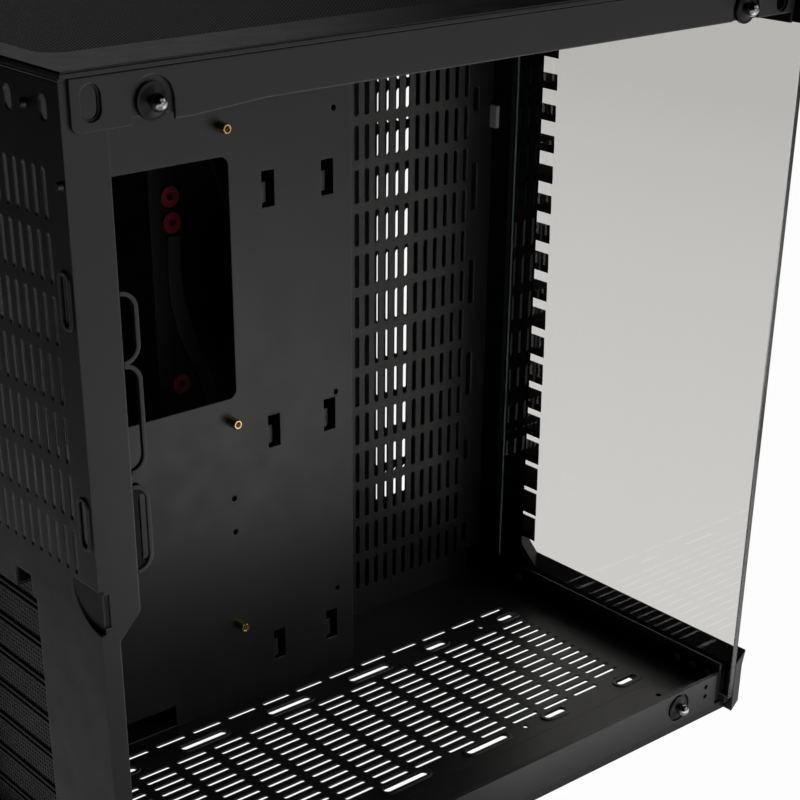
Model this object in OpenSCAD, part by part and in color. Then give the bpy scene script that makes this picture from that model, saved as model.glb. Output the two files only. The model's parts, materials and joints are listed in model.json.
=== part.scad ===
// Mid-tower computer case with two chambers, seen with its left side panel taken off.
// Millimetres. +X runs from the rear to the front, +Y from the open side to the closed side, +Z up.

/* [Body] */

// overall length, rear screw heads to front cover face
body_l = 439; // [433:1:447]
// overall width, ball stud tips to right panel
body_w = 272; // [266:1:280]
// overall height, pads to top cover
body_h = 440; // [437:1:448]
// height of the feet under the base frame
foot_h = 20; // [17:0.5:22]
// thickness of the folded steel sheets
sheet_t = 1.2; // [1:0.1:1.3]
// how far the ball studs stand out of the side rails' backing
stud_reach = 8.5; // [8:0.1:9.5]
// thickness of the rail plates on the open side
rail_t = 1.5; // [1.2:0.1:1.8]

/* [Chambers] */

// right outer face to the board tray
tray_in = 94; // [90:0.5:98]
// tray to the slotted fan wall
wall_in = 42; // [40:0.5:44]
// board datum hole behind the front, from the rear sheet
board_from_rear = 187; // [185:0.5:190]
// top cover face down to the upper row of board holes
board_drop = 73.5; // [70:0.5:77]
// floor face above the base frame's underside
floor_rise = 13.5; // [12:0.5:15]

/* [Front] */

// depth of the front cover
cover_d = 18; // [15:0.5:20]
// thickness of the front glass
glass_t = 4; // [3:0.5:5]
// tray plane to the hidden edge of the glass
glass_in = 23.5; // [20:0.5:26]
// pitch of the comb fins
fin_pitch = 17.86; // [16.5:0.02:18.5]
// thickness of one comb fin
fin_t = 4.3; // [3:0.1:6]
// width of a comb fin across the cover's bevel
fin_w = 11.5; // [9:0.5:14]
// wall of the hollow front cover
cover_wall = 2; // [1.5:0.1:2.5]
// height of the front cover's bottom bar
sill_bar_h = 32; // [30:0.5:36]

/* [Slots] */

// length of a vent slot
slot_l = 19.6; // [17:0.1:21]
// width of a vent slot
slot_w = 2.8; // [2:0.1:3.4]
// pitch of the slots end to end
slot_pitch = 24.8; // [24:0.05:25.2]
// pitch of the slots side by side
slot_step = 7.24; // [6.9:0.02:7.5]
// side by side pitch on the fan wall
wall_step = 7.58; // [7.2:0.02:7.8]
// fan hole spacing
fan_pitch = 105; // [104:0.1:106]
// width of a fan mounting slot
fan_slot_w = 5; // [4:0.1:5.6]
// distance of the two rear fan slots of one column
rear_fan_span = 93.5; // [90:0.5:97]
// length of a rear fan slot
rear_fan_l = 20.8; // [16:0.2:22]

/* [Board] */

// first hole spacing, datum column to rear column
hole_rear = 154.94; // [154.94:0.01:154.94]
// datum column to front column
hole_front = 72.39; // [72.39:0.01:72.39]
// upper row to middle row
hole_mid = 157.48; // [157.48:0.01:157.48]
// middle row to lower row
hole_low = 124.46; // [124.46:0.01:124.46]
// height of a brass standoff
standoff_h = 6.5; // [5:0.5:8]
// thread bore radius in a standoff
standoff_r = 1.25; // [1:0.05:1.4]
// pitch of the expansion slots
card_pitch = 20.32; // [20.32:0.01:20.32]

/* [Fits] */

// gap round things that sit in a hole
fit_gap = 0.3; // [0.2:0.05:0.4]
// gap between neighbouring slot covers
cover_gap = 0.4; // [0.3:0.05:0.6]

/* [Hidden] */

head_h = 2;
cover_t = 2.5;
t = sheet_t;
x0 = -body_l / 2;
xf = body_l / 2;
xr = x0 + head_h;
y0 = -body_w / 2;
y1 = body_w / 2;
ys = y0 + stud_reach;
yr = y1 - t;
zb = foot_h;
zt = body_h;
trim_h = 5.5;
z_trim = zb + trim_h;
zf = zb + floor_rise;
z_cov = zt - cover_t;
z_roof = z_cov - t;
xc = xf - cover_d;
xg = xc - glass_t;
sx = xr + board_from_rear;
sy = y1 - tray_in;
sz = zt - board_drop;

// rails and return flanges on the open side
low_rail_h = 20;
rail_low = z_cov - 17.7;
ret_w = 19.6;
ret_low_w = 8.8;
ret_step = zf + 184;
sill_h = 17;
sill_top = zf + sill_h;
bar_low = z_cov - 23;
stud_r = 7.2;
stud_rear_x = xr + 39;
stud_front_x = xg - 38;
stud_z = rail_low + 5.4;
low_stud_z = z_trim + low_rail_h / 2;

// fan wall and tray
tray_x1 = sx + 84.3;
wall_w = 131;
wall_x0 = xg - wall_w;
wall_y = sy + wall_in;
wall_cols = 13;
wall_rows = 15;

// card recess in the rear panel
card_y0 = sy - 115.5;
card_y1 = sy - 3.5;
card_top = sz - 158.3;
card_n = floor((card_top - zf - 8) / card_pitch);
card_bot = card_top - card_n * card_pitch;
card_depth = 16;
card_t = 1;

// front cover, plan of the bevel
bevel_y = sy - 7.6;
bevel_y1 = bevel_y + fin_w;
col_back_y = sy + glass_in + 1.5;
fin_n = 19;
fin_low = zf + 37.1;
sill_bar_z = zb + sill_bar_h;
lip_in = 5;
lip_h = 7.7;
button_y = y1 - 34;
button_z = sz - 20;
button_r = 6;

// top filter
mesh_x0 = xr + 14;
mesh_x1 = xc - 24;
mesh_y0 = ys + 31.5;
mesh_y1 = y1 - 34;
mesh_t = 1.4;

steel = [0.055, 0.055, 0.06];
plastic = [0.04, 0.04, 0.042];

module rect2(a0, a1, b0, b1) {
    translate([a0, b0])
        square([a1 - a0, b1 - b0]);
}

module round2(a0, a1, b0, b1, r) {
    rect2(a0 + r, a1 - r, b0, b1);
    rect2(a0, a1, b0 + r, b1 - r);
    for (a = [a0 + r, a1 - r])
        for (b = [b0 + r, b1 - r])
            translate([a, b])
                circle(r = r, $fn = 32);
}

// slot centred on a point, long side along the first axis
module slot_a(l, w) {
    square([l - w, w], center = true);
    for (s = [-1, 1])
        translate([s * (l - w) / 2, 0])
            circle(d = w, $fn = 20);
}

module slot_b(l, w) {
    rotate(90)
        slot_a(l, w);
}

module box(a0, a1, b0, b1, c0, c1) {
    translate([a0, b0, c0])
        cube([a1 - a0, b1 - b0, c1 - c0]);
}

module flat(z, h) {
    translate([0, 0, z])
        linear_extrude(h)
            children();
}

// a drawing in X and Z, standing from y to y + h
module wall_xz(y, h) {
    translate([0, y + h, 0])
        rotate([90, 0, 0])
            linear_extrude(h)
                children();
}

// a drawing in Y and Z, standing from x to x + h
module wall_yz(x, h) {
    translate([x, 0, 0])
        rotate([90, 0, 90])
            linear_extrude(h)
                children();
}

// slot pattern of the floor and the roof, in X and Y
foot_row = sy - 11.5;
grid_y = sy - 32.7;
far_fan_y = sy - 22.5;
near_fan_y = far_fan_y - fan_pitch;
grid_x = xg - 38;
grid_cols = 11;
grid_rows = floor((grid_y - near_fan_y - 7) / slot_step);
fan_x = xg - 35.3;

module vent_grid() {
    for (i = [0 : grid_cols - 1])
        translate([grid_x - i * slot_pitch, foot_row])
            slot_a(slot_l, slot_w);
    for (i = [0 : grid_cols - 1])
        for (j = [0 : grid_rows - 1])
            translate([grid_x - i * slot_pitch, grid_y - j * slot_step])
                slot_a(slot_l, slot_w);
    for (i = [1 : grid_cols - 1])
        translate([grid_x - i * slot_pitch, grid_y - grid_rows * slot_step])
            slot_a(slot_l, slot_w);
}

// fan mounting slots, two rows one fan pitch apart
fan_step = 60.7;
fan_long = [for (k = [0 : 2]) [-114.3 - k * fan_step, 30.6]];
fan_slots = concat([[0, 16], [-fan_step, 16]], fan_long, [[xr + 34.5 - fan_x, 16]]);

module fan_grid(grow) {
    for (s = fan_slots)
        for (y = [far_fan_y, near_fan_y])
            translate([fan_x + s[0], y])
                slot_a(s[1] + 2 * grow, fan_slot_w + 2 * grow);
}

// small location holes between the slots
module fan_dots() {
    for (p = [[-22, 0.4], [-4, -100], [-84, -104.5]])
        translate([fan_x + p[0], far_fan_y + p[1]])
            circle(d = 3.2, $fn = 20);
}

field_y = near_fan_y - 12.5;
field_r = min(14, field_y - ys - 1);
step_h = 1.5;

module floor_border() {
    rect2(xr + t, xg - t, ys, field_y - field_r);
    rect2(xr + t, xg - 40, field_y - field_r - 0.01, field_y);
    translate([xg - 40, field_y - field_r])
        circle(r = field_r, $fn = 48);
}

module floor_pan() {
    color(steel)
    difference() {
        union() {
            flat(zf - t, t)
                difference() {
                    rect2(xr + t, xg, ys, yr);
                    vent_grid();
                    fan_grid(0);
                    fan_dots();
                }
            flat(zf - t, t + step_h)
                floor_border();
            flat(zf - t, t + 0.7)
                difference() {
                    fan_grid(2.2);
                    fan_grid(0);
                    vent_grid();
                }
            box(xg - t, xg, ys, yr, zf - t, sill_top);
            box(xr + ret_low_w, xg, ys, ys + t, z_trim, z_trim + low_rail_h);
            box(xr + 15, xg, yr - t, yr, zf - t, zf + 12);
        }
        box(xr, xr + ret_low_w, ys - 1, ys + t, zb, sill_top);
        box(xr, xr + 15, yr - t, yr + 1, zb, sill_top);
        translate([fan_x - 0.3, ys + 16.4, zf - t - 1])
            cylinder(d = 3.2, h = t + step_h + 2, $fn = 20);
        for (p = sill_pts)
            translate([xg - 2 * t, p[0], zf + p[1]])
                rotate([0, 90, 0])
                    cylinder(r = rivet_r, h = 3 * t, $fn = 24);
        low_stud_bores();
    }
}

// rivets in the sill flange, from the tray plane and the floor
sill_pts = [[sy + 2.1, 7.7], [ys + 33.5, 7.2], [ys + 20.9, 7.2], [ys + 9.1, 6.5]];
rivet_r = 1.5;

module sill_rivets() {
    color([0.3, 0.3, 0.31])
    for (p = sill_pts)
        translate([xg - t, p[0], zf + p[1]])
            rotate([0, -90, 0]) {
                translate([0, 0, -t])
                    cylinder(r = rivet_r - fit_gap, h = t, $fn = 24);
                cylinder(r1 = 3, r2 = 2, h = 1.3, $fn = 24);
            }
}

module stud_bore(x, z) {
    translate([x, ys - 1, z])
        rotate([-90, 0, 0])
            cylinder(r = 2 + fit_gap, h = t + 2, $fn = 24);
}

module low_stud_bores() {
    for (x = [stud_front_x, stud_rear_x])
        stud_bore(x, low_stud_z);
}

module top_stud_bores() {
    for (x = [stud_front_x, stud_rear_x])
        stud_bore(x, stud_z);
}

// rear vent: columns from the open side inwards, rows from the top down
vent_y = ys + 16.2;
vent_z = sz + 27;
io_y0 = sy - 48.8;
vent_cols = floor((io_y0 - 16 - vent_y) / slot_step) + 1;
vent_rows = 7;
rear_fan_y = ys + 6.5;
rear_fan_z = sz - 12.1;

module rear_vents() {
    for (i = [0 : vent_cols - 1])
        for (j = [0 : vent_rows - 1])
            translate([vent_y + i * slot_step, vent_z - j * slot_pitch])
                slot_b(slot_l, slot_w);
    for (i = [0 : 8])
        for (j = [0 : vent_rows - 1])
            translate([sy + 18 + i * slot_step, vent_z - j * slot_pitch])
                slot_b(slot_l, slot_w);
}

module rear_fan_slots(grow) {
    for (y = [rear_fan_y, io_y0 - 9.2])
        for (z = [rear_fan_z, rear_fan_z - rear_fan_span])
            translate([y, z])
                slot_b(rear_fan_l + 2 * grow, fan_slot_w + 2 * grow);
}

module card_windows() {
    for (i = [0 : card_n - 1])
        translate([0, card_top - (i + 0.5) * card_pitch])
            rect2(card_y0 + 12, card_y1 - 8, -6.5, 6.5);
}

// quarter-round recess at the corner: the sheet slopes inwards to the return flange
press_in = 2.4;
press_r = 20.5;
press_z = card_top + 24;

module press_disc(r) {
    translate([xr - 1, ys, press_z])
        rotate([0, 90, 0])
            cylinder(r = r, h = 8, $fn = 64);
}

module press_back() {
    intersection() {
        press_disc(press_r + t);
        flat(press_z - press_r - t, press_r + 2 * t)
            polygon([[xr, ys], [xr, ys + press_r], [xr + t, ys + press_r], [xr + press_in + t, ys]]);
    }
}

module press_cut() {
    intersection() {
        press_disc(press_r);
        flat(press_z - press_r - 1, press_r + 1)
            polygon([[xr - 1, ys - 1], [xr - 1, ys + press_r + 1], [xr, ys + press_r],
                [xr + press_in, ys], [xr + press_in, ys - 1]]);
    }
}

psu_cy = sy + 47;
psu_cz = zf + 88;
psu_holes = [[-37, 69], [37, 69], [-27, -69], [37, -69]];

module rear_panel() {
    color(steel)
    difference() {
        union() {
            wall_yz(xr, t)
                difference() {
                    rect2(ys, yr, z_trim, z_roof);
                    rear_vents();
                    rear_fan_slots(0);
                    round2(io_y0, io_y0 + 44.45, sz - 153.75, sz + 5, 1);
                    rect2(card_y0, card_y1, card_bot - 3.5, card_top);
                    round2(psu_cy - 34, psu_cy + 34, psu_cz - 66, psu_cz + 66, 9);
                    for (p = psu_holes)
                        translate([psu_cy + p[0], psu_cz + p[1]])
                            circle(r = 2, $fn = 24);
                    for (p = [[12.2, 59.3], [38.3, 59]])
                        translate([ys + p[0], sz + p[1]])
                            slot_b(9.5, 5.4);
                    for (p = rear_rivet_pts)
                        translate([ys + p[0], sz + p[1]])
                            circle(r = rivet_r, $fn = 24);
                }
            wall_yz(xr - 0.7, t)
                difference() {
                    rear_fan_slots(1.4);
                    rear_fan_slots(0);
                    rear_vents();
                }
            wall_xz(ys, t) {
                rect2(xr, xr + ret_low_w, z_trim, z_roof);
                polygon([[xr, ret_step - 11], [xr + ret_low_w, ret_step - 11], [xr + ret_w, ret_step],
                    [xr + ret_w, z_roof], [xr, z_roof]]);
            }
            box(xr, xr + 15, yr - t, yr, z_trim, z_roof);
            // walls of the card recess
            box(xr, xr + card_depth + t, card_y0 - t, card_y0, card_bot - 3.5 - t, card_top + t);
            box(xr, xr + card_depth + t, card_y1, card_y1 + t, card_bot - 3.5 - t, card_top + t);
            box(xr, xr + card_depth + t, card_y0, card_y1, card_top, card_top + t);
            box(xr, xr + card_depth + t, card_y0, card_y1, card_bot - 3.5 - t, card_bot - 3.5);
            wall_yz(xr + card_depth, t)
                difference() {
                    rect2(card_y0, card_y1, card_bot - 3.5, card_top);
                    card_windows();
                }
            press_back();
        }
        press_cut();
        // notch above the recess
        box(xr - 1, xr + 9, sy - 112.2, sy - 98.7, card_top - 1, card_top + 10.3);
        // slit in the return flange beside the pressed recess
        wall_xz(ys - 1, t + 1)
            rect2(xr - 1, xr + 5, press_z - press_r + 3, press_z - 2.2);
        obround_behind(xr + 12.3);
        stud_bore(stud_rear_x, stud_z);
    }
}

module obround_behind(x) {
    wall_xz(ys - 1, t + 2)
        translate([x, rail_low + 8])
            slot_b(12.4, 7.4);
}

rear_rivet_pts = [[25.8, 58.8], [3.2, 32.3]];

module rear_rivets() {
    color([0.45, 0.45, 0.46])
    for (p = rear_rivet_pts)
        translate([xr, ys + p[0], sz + p[1]])
            rotate([0, 90, 0]) {
                cylinder(r = rivet_r - fit_gap, h = t, $fn = 24);
                translate([0, 0, -head_h])
                    cylinder(r1 = 1.3, r2 = 2, h = head_h, $fn = 24);
            }
}

module roof_panel() {
    color(steel)
    difference() {
        union() {
            flat(z_roof, t)
                difference() {
                    rect2(xr, xg, ys, yr);
                    vent_grid();
                    fan_grid(0);
                    fan_dots();
                }
            box(xr + ret_w, xg, ys, ys + t, rail_low, z_roof + 0.01);
            box(xg - t, xg, ys, yr, bar_low, z_roof + 0.01);
        }
        obround_behind(xg - 11);
        top_stud_bores();
    }
}

cut_x0 = sx - 140;
cut_x1 = sx + 4;
cut_z0 = sz - 144.5;
cut_z1 = sz - 15;

// cable tie anchors: the strip between two cuts is pushed back
anchor_pts = [for (x = [28.2, 67.3]) for (z = [-35.5, -169.9, zf + 28.5 - sz]) [x, z]];

module anchor(x, z) {
    translate([x, 0, z]) {
        box(-1.7, 1.7, sy + 2.2, sy + 2.2 + t, -8, 8);
        for (s = [-1, 1])
            box(-1.7, 1.7, sy, sy + 2.2 + t, s * 8.8 - 1.0, s * 8.8 + 1.0);
    }
}

standoff_pts = [[0, 0], [0, -hole_mid], [0, -hole_mid - hole_low],
    [-132.08, 0], [-hole_rear, -hole_mid], [-hole_rear, -hole_mid - hole_low]];
spare_pts = [[hole_front, 0], [hole_front, -hole_mid], [hole_front, -hole_mid - hole_low],
    [0, -203.2], [0, -223.5]];

module board_tray() {
    color(steel)
    union() {
        wall_xz(sy, t)
            difference() {
                rect2(xr + t, tray_x1, zf, z_roof);
                round2(cut_x0, cut_x1, cut_z0, cut_z1, 5);
                round2(sx - 100, sx - 46, zf + 0.8, zf + 13.5, 0.6);
                round2(sx - 66.5, sx - 61, sz - 222, sz - 176, 2.6);
                for (p = anchor_pts)
                    translate([sx + p[0], sz + p[1]])
                        rect2(-3.75, 3.75, -9.5, 9.5);
                for (p = standoff_pts)
                    translate([sx + p[0], sz + p[1]])
                        circle(r = 1.5 + fit_gap, $fn = 24);
                for (p = spare_pts)
                    translate([sx + p[0], sz + p[1]])
                        circle(r = 1.7, $fn = 24);
            }
        box(tray_x1 - t, tray_x1, sy, sy + 10, zf, z_roof);
        for (p = anchor_pts)
            anchor(sx + p[0], sz + p[1]);
    }
}

module standoffs() {
    color([0.72, 0.56, 0.25])
    for (p = standoff_pts)
        translate([sx + p[0], sy, sz + p[1]])
            rotate([90, 0, 0])
                difference() {
                    union() {
                        cylinder(d = 5.6, h = standoff_h, $fn = 6);
                        translate([0, 0, -t])
                            cylinder(r = 1.5, h = t + 0.01, $fn = 24);
                    }
                    translate([0, 0, 1])
                        cylinder(r = standoff_r, h = standoff_h, $fn = 24);
                }
}

wall_obrounds = [[-20.3, 14.3], [-72, 29], [-131.2, 28.4], [-191, 29.3], [-243, 14.3], [-302.5, 15.3]];
wall_slot_z = sz - 8.3 + 2 * slot_pitch;
wall_slot_x = xg - 22.5;
wall_slot_w = 3.3;

module fan_wall() {
    color(steel)
    union() {
        wall_xz(wall_y, t)
            difference() {
                rect2(wall_x0, xg - t, zf, z_roof);
                for (i = [0 : wall_cols - 1])
                    for (j = [0 : wall_rows - 1])
                        translate([wall_slot_x - i * wall_step, wall_slot_z - j * slot_pitch])
                            slot_b(slot_l, wall_slot_w);
                for (s = wall_obrounds)
                    for (x = [xg - 14.8, xg - 14.8 - fan_pitch])
                        translate([x, sz + s[0]])
                            slot_b(s[1], 4.4);
                rect2(xg - 11, xg, zf - 1, sill_top + 1.5);
            }
        box(wall_x0, wall_x0 + t, wall_y, wall_y + 10, zf, z_roof);
        box(xg - 2 * t, xg - t, wall_y, wall_y + 12, sill_top + 6, bar_low - 6);
    }
}

module front_plate() {
    color(steel)
    wall_yz(xg - t, t)
        difference() {
            rect2(sy + glass_in + 2, yr, sill_top, bar_low);
            for (z = [sill_top + 30, (sill_top + bar_low) / 2, bar_low - 30])
                translate([y1 - 10, z])
                    slot_b(12, 4);
            round2(button_y - 12, button_y + 12, button_z - 95, button_z + 16, 3);
        }
}

// two vent groups of four columns
panel_slot_x = xg - 23.8;
panel_slot_z = sz - 29.4;
panel_slot_w = 4.2;
panel_group = 49.3;

module right_panel() {
    color(steel)
    wall_xz(yr, t)
        difference() {
            rect2(xr, xg, z_trim, z_cov);
            for (g = [0, panel_group])
                for (i = [0 : 3])
                    for (j = [-1 : 10])
                        translate([panel_slot_x - g - i * wall_step, panel_slot_z - j * slot_pitch])
                            slot_b(slot_l, panel_slot_w);
        }
}

module front_glass() {
    color([0.75, 0.82, 0.8, 0.3])
    box(xg, xc, y0 + 1, sy + glass_in, z_trim + 4, z_roof);
}

module glass_seal() {
    color([0.03, 0.03, 0.03])
    box(xg, xc, y0 + 4, sy + glass_in - 1, z_trim, z_trim + 4);
}

// plan of one comb fin, parallel to the 45 degree bevel
module fin_plan() {
    polygon([[xc, bevel_y], [xf, bevel_y + cover_d], [xf, bevel_y1 + cover_d], [xc, bevel_y1]]);
}

// plan of the hollow column behind the comb
module column_plan(w) {
    // the slanted wall keeps the thickness w, so its ends shift by w times root two
    polygon([[xc + w, bevel_y1 + w + w * sqrt(2)], [xf - w, bevel_y1 + cover_d - w + w * sqrt(2)],
        [xf - w, y1 - w], [xg - (w > 0 ? 1 : 0), y1 - w], [xg - (w > 0 ? 1 : 0), col_back_y + w],
        [xc + w, col_back_y + w]]);
}

module bar_plan() {
    polygon([[xc, y0 + 1], [xf, y0 + 9], [xf, y1], [xc, y1]]);
}

module front_cover() {
    color(plastic)
    difference() {
        union() {
            // right hand column
            flat(zb, z_cov - zb)
                difference() {
                    column_plan(0);
                    column_plan(cover_wall);
                }
            // lower bar, open underneath
            flat(zb, sill_bar_h)
                bar_plan();
            // upper bar
            flat(bar_low, z_cov - bar_low)
                bar_plan();
            for (i = [0 : fin_n - 1])
                flat(fin_low + i * fin_pitch, fin_t)
                    fin_plan();
            // corner gusset under the lowest fin, running along the bevel
            intersection() {
                flat(sill_bar_z - 1, 30)
                    rect2(xc, xf, bevel_y - 8, y1);
                translate([xc, bevel_y1, sill_bar_z])
                    rotate([90, 0, -45])
                        translate([0, 0, -80])
                            linear_extrude(160)
                                polygon([[-0.5, -1], [10.3, -1], [10.3, 0], [0, 12.6], [-0.5, 12.6]]);
            }
        }
        // undercut face of the lower bar
        wall_xz(y0, body_w + 1)
            polygon([[xf - lip_in, zb - 1], [xf - lip_in, sill_bar_z - lip_h], [xf, sill_bar_z - 0.5],
                [xf + 1, sill_bar_z - 0.5], [xf + 1, zb - 1]]);
        // seat on the base frame
        box(xg - 1, xc, col_back_y - 1, y1 + 1, zb - 1, z_trim);
        // pockets in the bars
        box(xc + cover_wall, xf - lip_in - cover_wall, y0 + 12, y1 - cover_wall, zb - 1,
            sill_bar_z - cover_wall);
        box(xc + cover_wall, xf - cover_wall, y0 + 12, y1 - cover_wall, bar_low + cover_wall, z_cov + 1);
        // button bore and port windows
        translate([xf - cover_wall - 1, button_y, button_z])
            rotate([0, 90, 0])
                cylinder(r = button_r + fit_gap, h = cover_wall + 2, $fn = 64);
        wall_yz(xf - cover_wall - 1, cover_wall + 2)
            io_windows(fit_gap);
    }
}

usb_pts = [[-26, 0], [-42, 0]];

module io_windows(g) {
    for (p = usb_pts)
        translate([button_y, button_z + p[0]])
            rect2(-3.6 - g, 3.6 + g, -6.6 - g, 6.6 + g);
    translate([button_y, button_z - 57])
        slot_b(9 + 2 * g, 3.2 + 2 * g);
    translate([button_y, button_z - 70])
        circle(r = 3.2 + g, $fn = 32);
}

module io_block() {
    color([0.03, 0.03, 0.032])
    difference() {
        union() {
            box(xf - cover_wall - 8, xf - cover_wall, button_y - 11, button_y + 11,
                button_z - 82, button_z - 14);
            wall_yz(xf - cover_wall - 0.01, cover_wall - 0.4)
                io_windows(0);
            // bracket back to the front plate
            box(xg, xf - cover_wall - 8, button_y - 11, button_y - 9, button_z - 82, button_z - 14);
            box(xg, xf - cover_wall - 8, button_y + 9, button_y + 11, button_z - 82, button_z - 14);
            box(xg, xg + 1.5, button_y - 16, button_y + 16, button_z - 100, button_z - 14);
            // switch body behind the button
            box(xg, xf - cover_wall - 7.5, button_y - 4, button_y + 4, button_z - 18, button_z + 4);
            box(xg, xg + 1.5, button_y - 16, button_y + 16, button_z - 100, button_z + 21);
        }
        for (p = usb_pts)
            translate([xf, button_y, button_z + p[0]]) {
                box(-7, 1, -2.4, 2.4, -6, 6);
            }
        translate([xf - 7, button_y, button_z - 57])
            rotate([0, 90, 0])
                cylinder(r = 1, h = 9, $fn = 20);
        translate([xf - 7, button_y, button_z - 70])
            rotate([0, 90, 0])
                cylinder(r = 1.8, h = 9, $fn = 32);
    }
}

button_travel = 1.2;

module power_button() {
    color([0.05, 0.05, 0.052])
    translate([0, button_y, button_z])
        rotate([0, 90, 0]) {
            translate([0, 0, xf - cover_wall - 1.5])
                cylinder(r = button_r, h = cover_wall + 1.2, $fn = 64);
            translate([0, 0, xf - cover_wall - 2.3])
                cylinder(r = button_r + 1.6, h = 2, $fn = 64);
            translate([0, 0, xf - cover_wall - 7.5 + button_travel + 0.3])
                cylinder(r = 1.6, h = 4.2, $fn = 32);
        }
}

module top_cover() {
    color(plastic)
    difference() {
        union() {
            flat(z_cov, cover_t - 0.8)
                rect2(xr, xf, ys - rail_t, y1);
            flat(zt - 0.81, 0.81)
                rect2(xr + 0.8, xf - 0.8, ys - rail_t + 0.8, y1 - 0.8);
        }
        flat(z_cov - 1, cover_t + 2)
            round2(mesh_x0, mesh_x1, mesh_y0, mesh_y1, 11);
    }
}

module top_mesh() {
    color([0.12, 0.12, 0.105])
    flat(z_cov, mesh_t)
        round2(mesh_x0 + fit_gap, mesh_x1 - fit_gap, mesh_y0 + fit_gap, mesh_y1 - fit_gap, 11 - fit_gap);
}

rail_drop = 2.3;

module top_rail() {
    color(steel)
    wall_xz(ys - rail_t, rail_t)
        difference() {
            union() {
                round2(xr + 3.7, xr + 60, rail_low - rail_drop, z_cov - 0.4, 3.5);
                rect2(xr + 3.7, xr + 60, rail_low + 5, z_cov - 0.4);
                // the deeper rear end runs out into the straight edge
                polygon([[xr + 52, rail_low - rail_drop], [xr + 56.5, rail_low - rail_drop], [xr + 92, rail_low],
                    [xr + 92, rail_low + 5], [xr + 52, rail_low + 5]]);
                round2(xr + 52, xg - 1.5, rail_low, z_cov - 0.4, 3.5);
                rect2(xr + 52, xg - 1.5, rail_low + 5, z_cov - 0.4);
            }
            for (x = [xr + 12.3, xg - 11])
                translate([x, rail_low + 8])
                    slot_b(14, 8.8);
            for (x = [stud_rear_x, stud_front_x])
                translate([x, stud_z]) {
                    circle(r = 9.6, $fn = 64);
                    rect2(-9.6, 9.6, -12, 0);
                }
        }
}

module bottom_rail() {
    color(steel)
    wall_xz(ys - rail_t, rail_t)
        difference() {
            rect2(xr + 2, xg - t - 4, z_trim, z_trim + low_rail_h);
            for (x = [stud_front_x, stud_rear_x])
                translate([x, low_stud_z])
                    circle(r = 8.7, $fn = 64);
            for (z = [z_trim + 8.7, z_trim + 15])
                translate([xg - 14.5, z])
                    circle(r = 1.5, $fn = 24);
        }
}

module ball_stud(x, z) {
    translate([x, ys, z])
        rotate([90, 0, 0]) {
            cylinder(r = stud_r, h = 1.6, $fn = 48);
            translate([0, 0, 1.6])
                cylinder(r1 = stud_r - 1.2, r2 = 3, h = 1, $fn = 48);
            cylinder(r = 2.4, h = stud_reach - 4, $fn = 32);
            translate([0, 0, stud_reach - 3.6])
                sphere(r = 3.6, $fn = 40);
            translate([0, 0, -t])
                cylinder(r = 2, h = t + 0.1, $fn = 24);
        }
}

module ball_studs() {
    color([0.09, 0.09, 0.095]) {
        for (x = [stud_rear_x, stud_front_x])
            ball_stud(x, stud_z);
        for (x = [stud_rear_x, stud_front_x])
            ball_stud(x, low_stud_z);
    }
}

module base_frame() {
    color(plastic)
    flat(zb, trim_h)
        difference() {
            rect2(xr, xc, ys - rail_t, y1);
            rect2(xr + 40, xg - 14, ys + 38, y1 - 42);
        }
}

// one blank: a perforated field between two rolled ridges
module slot_cover(i) {
    zc = card_top - (i + 0.5) * card_pitch;
    hz = (card_pitch - cover_gap) / 2;
    xa = xr + card_depth;
    box(xa - card_t, xa, card_y0 + cover_gap, card_y1 - cover_gap, zc - hz, zc + hz);
    for (s = [-1, 1])
        box(xa - card_t - 1.1, xa, card_y0 + cover_gap, card_y1 - cover_gap,
            zc + s * (hz - 1.2) - 1.2, zc + s * (hz - 1.2) + 1.2);
}

module slot_covers() {
    color(steel)
    for (i = [0 : card_n - 1])
        slot_cover(i);
}

// strip inside the rear corner with three finger tabs
module fan_bracket() {
    color(steel)
    wall_xz(ys + t, t)
        difference() {
            union() {
                rect2(xr + t, xr + 17, press_z + t + 1, sz + 10);
                for (p = [[-26, 30], [-64, 47], [-112, 40]])
                    translate([xr + 20, sz + p[0]])
                        slot_b(p[1], 16);
            }
            translate([xr + 24.6, sz - 112])
                slot_b(30, 4);
        }
}

plate_y = sy + 45;
plate_x0 = sx - 16;
plate_x1 = wall_x0 - 17;
plate_z0 = sz - 184;
plate_z1 = sz - 8;
grommet_pts = [[12, -42.9], [12.6, -57], [13.4, -147.6],
    for (z = [-42.9, -57, -147.6]) [plate_x1 - plate_x0 - 8, z]];

module drive_plate() {
    color(steel)
    union() {
        wall_xz(plate_y, t)
            difference() {
                rect2(plate_x0, plate_x1, plate_z0, plate_z1);
                for (p = grommet_pts)
                    translate([plate_x0 + p[0], sz + p[1]])
                        circle(r = 4, $fn = 40);
            }
        box(plate_x0, plate_x1, sy + t, plate_y + t, plate_z1 - t, plate_z1);
        box(plate_x0, plate_x1, sy + t, plate_y + t, plate_z0, plate_z0 + t);
    }
}

module grommets() {
    color([0.45, 0.02, 0.03])
    for (p = grommet_pts)
        translate([plate_x0 + p[0], plate_y, sz + p[1]])
            rotate([90, 0, 0])
                difference() {
                    union() {
                        cylinder(r = 5.6, h = 2.2, $fn = 48);
                        translate([0, 0, -t])
                            cylinder(r = 4 - fit_gap, h = t + 0.01, $fn = 48);
                        translate([0, 0, -t - 2.2])
                            cylinder(r = 5.6, h = 2.2, $fn = 48);
                    }
                    translate([0, 0, -t - 3])
                        cylinder(r = 2, h = t + 6, $fn = 32);
                }
}

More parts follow.
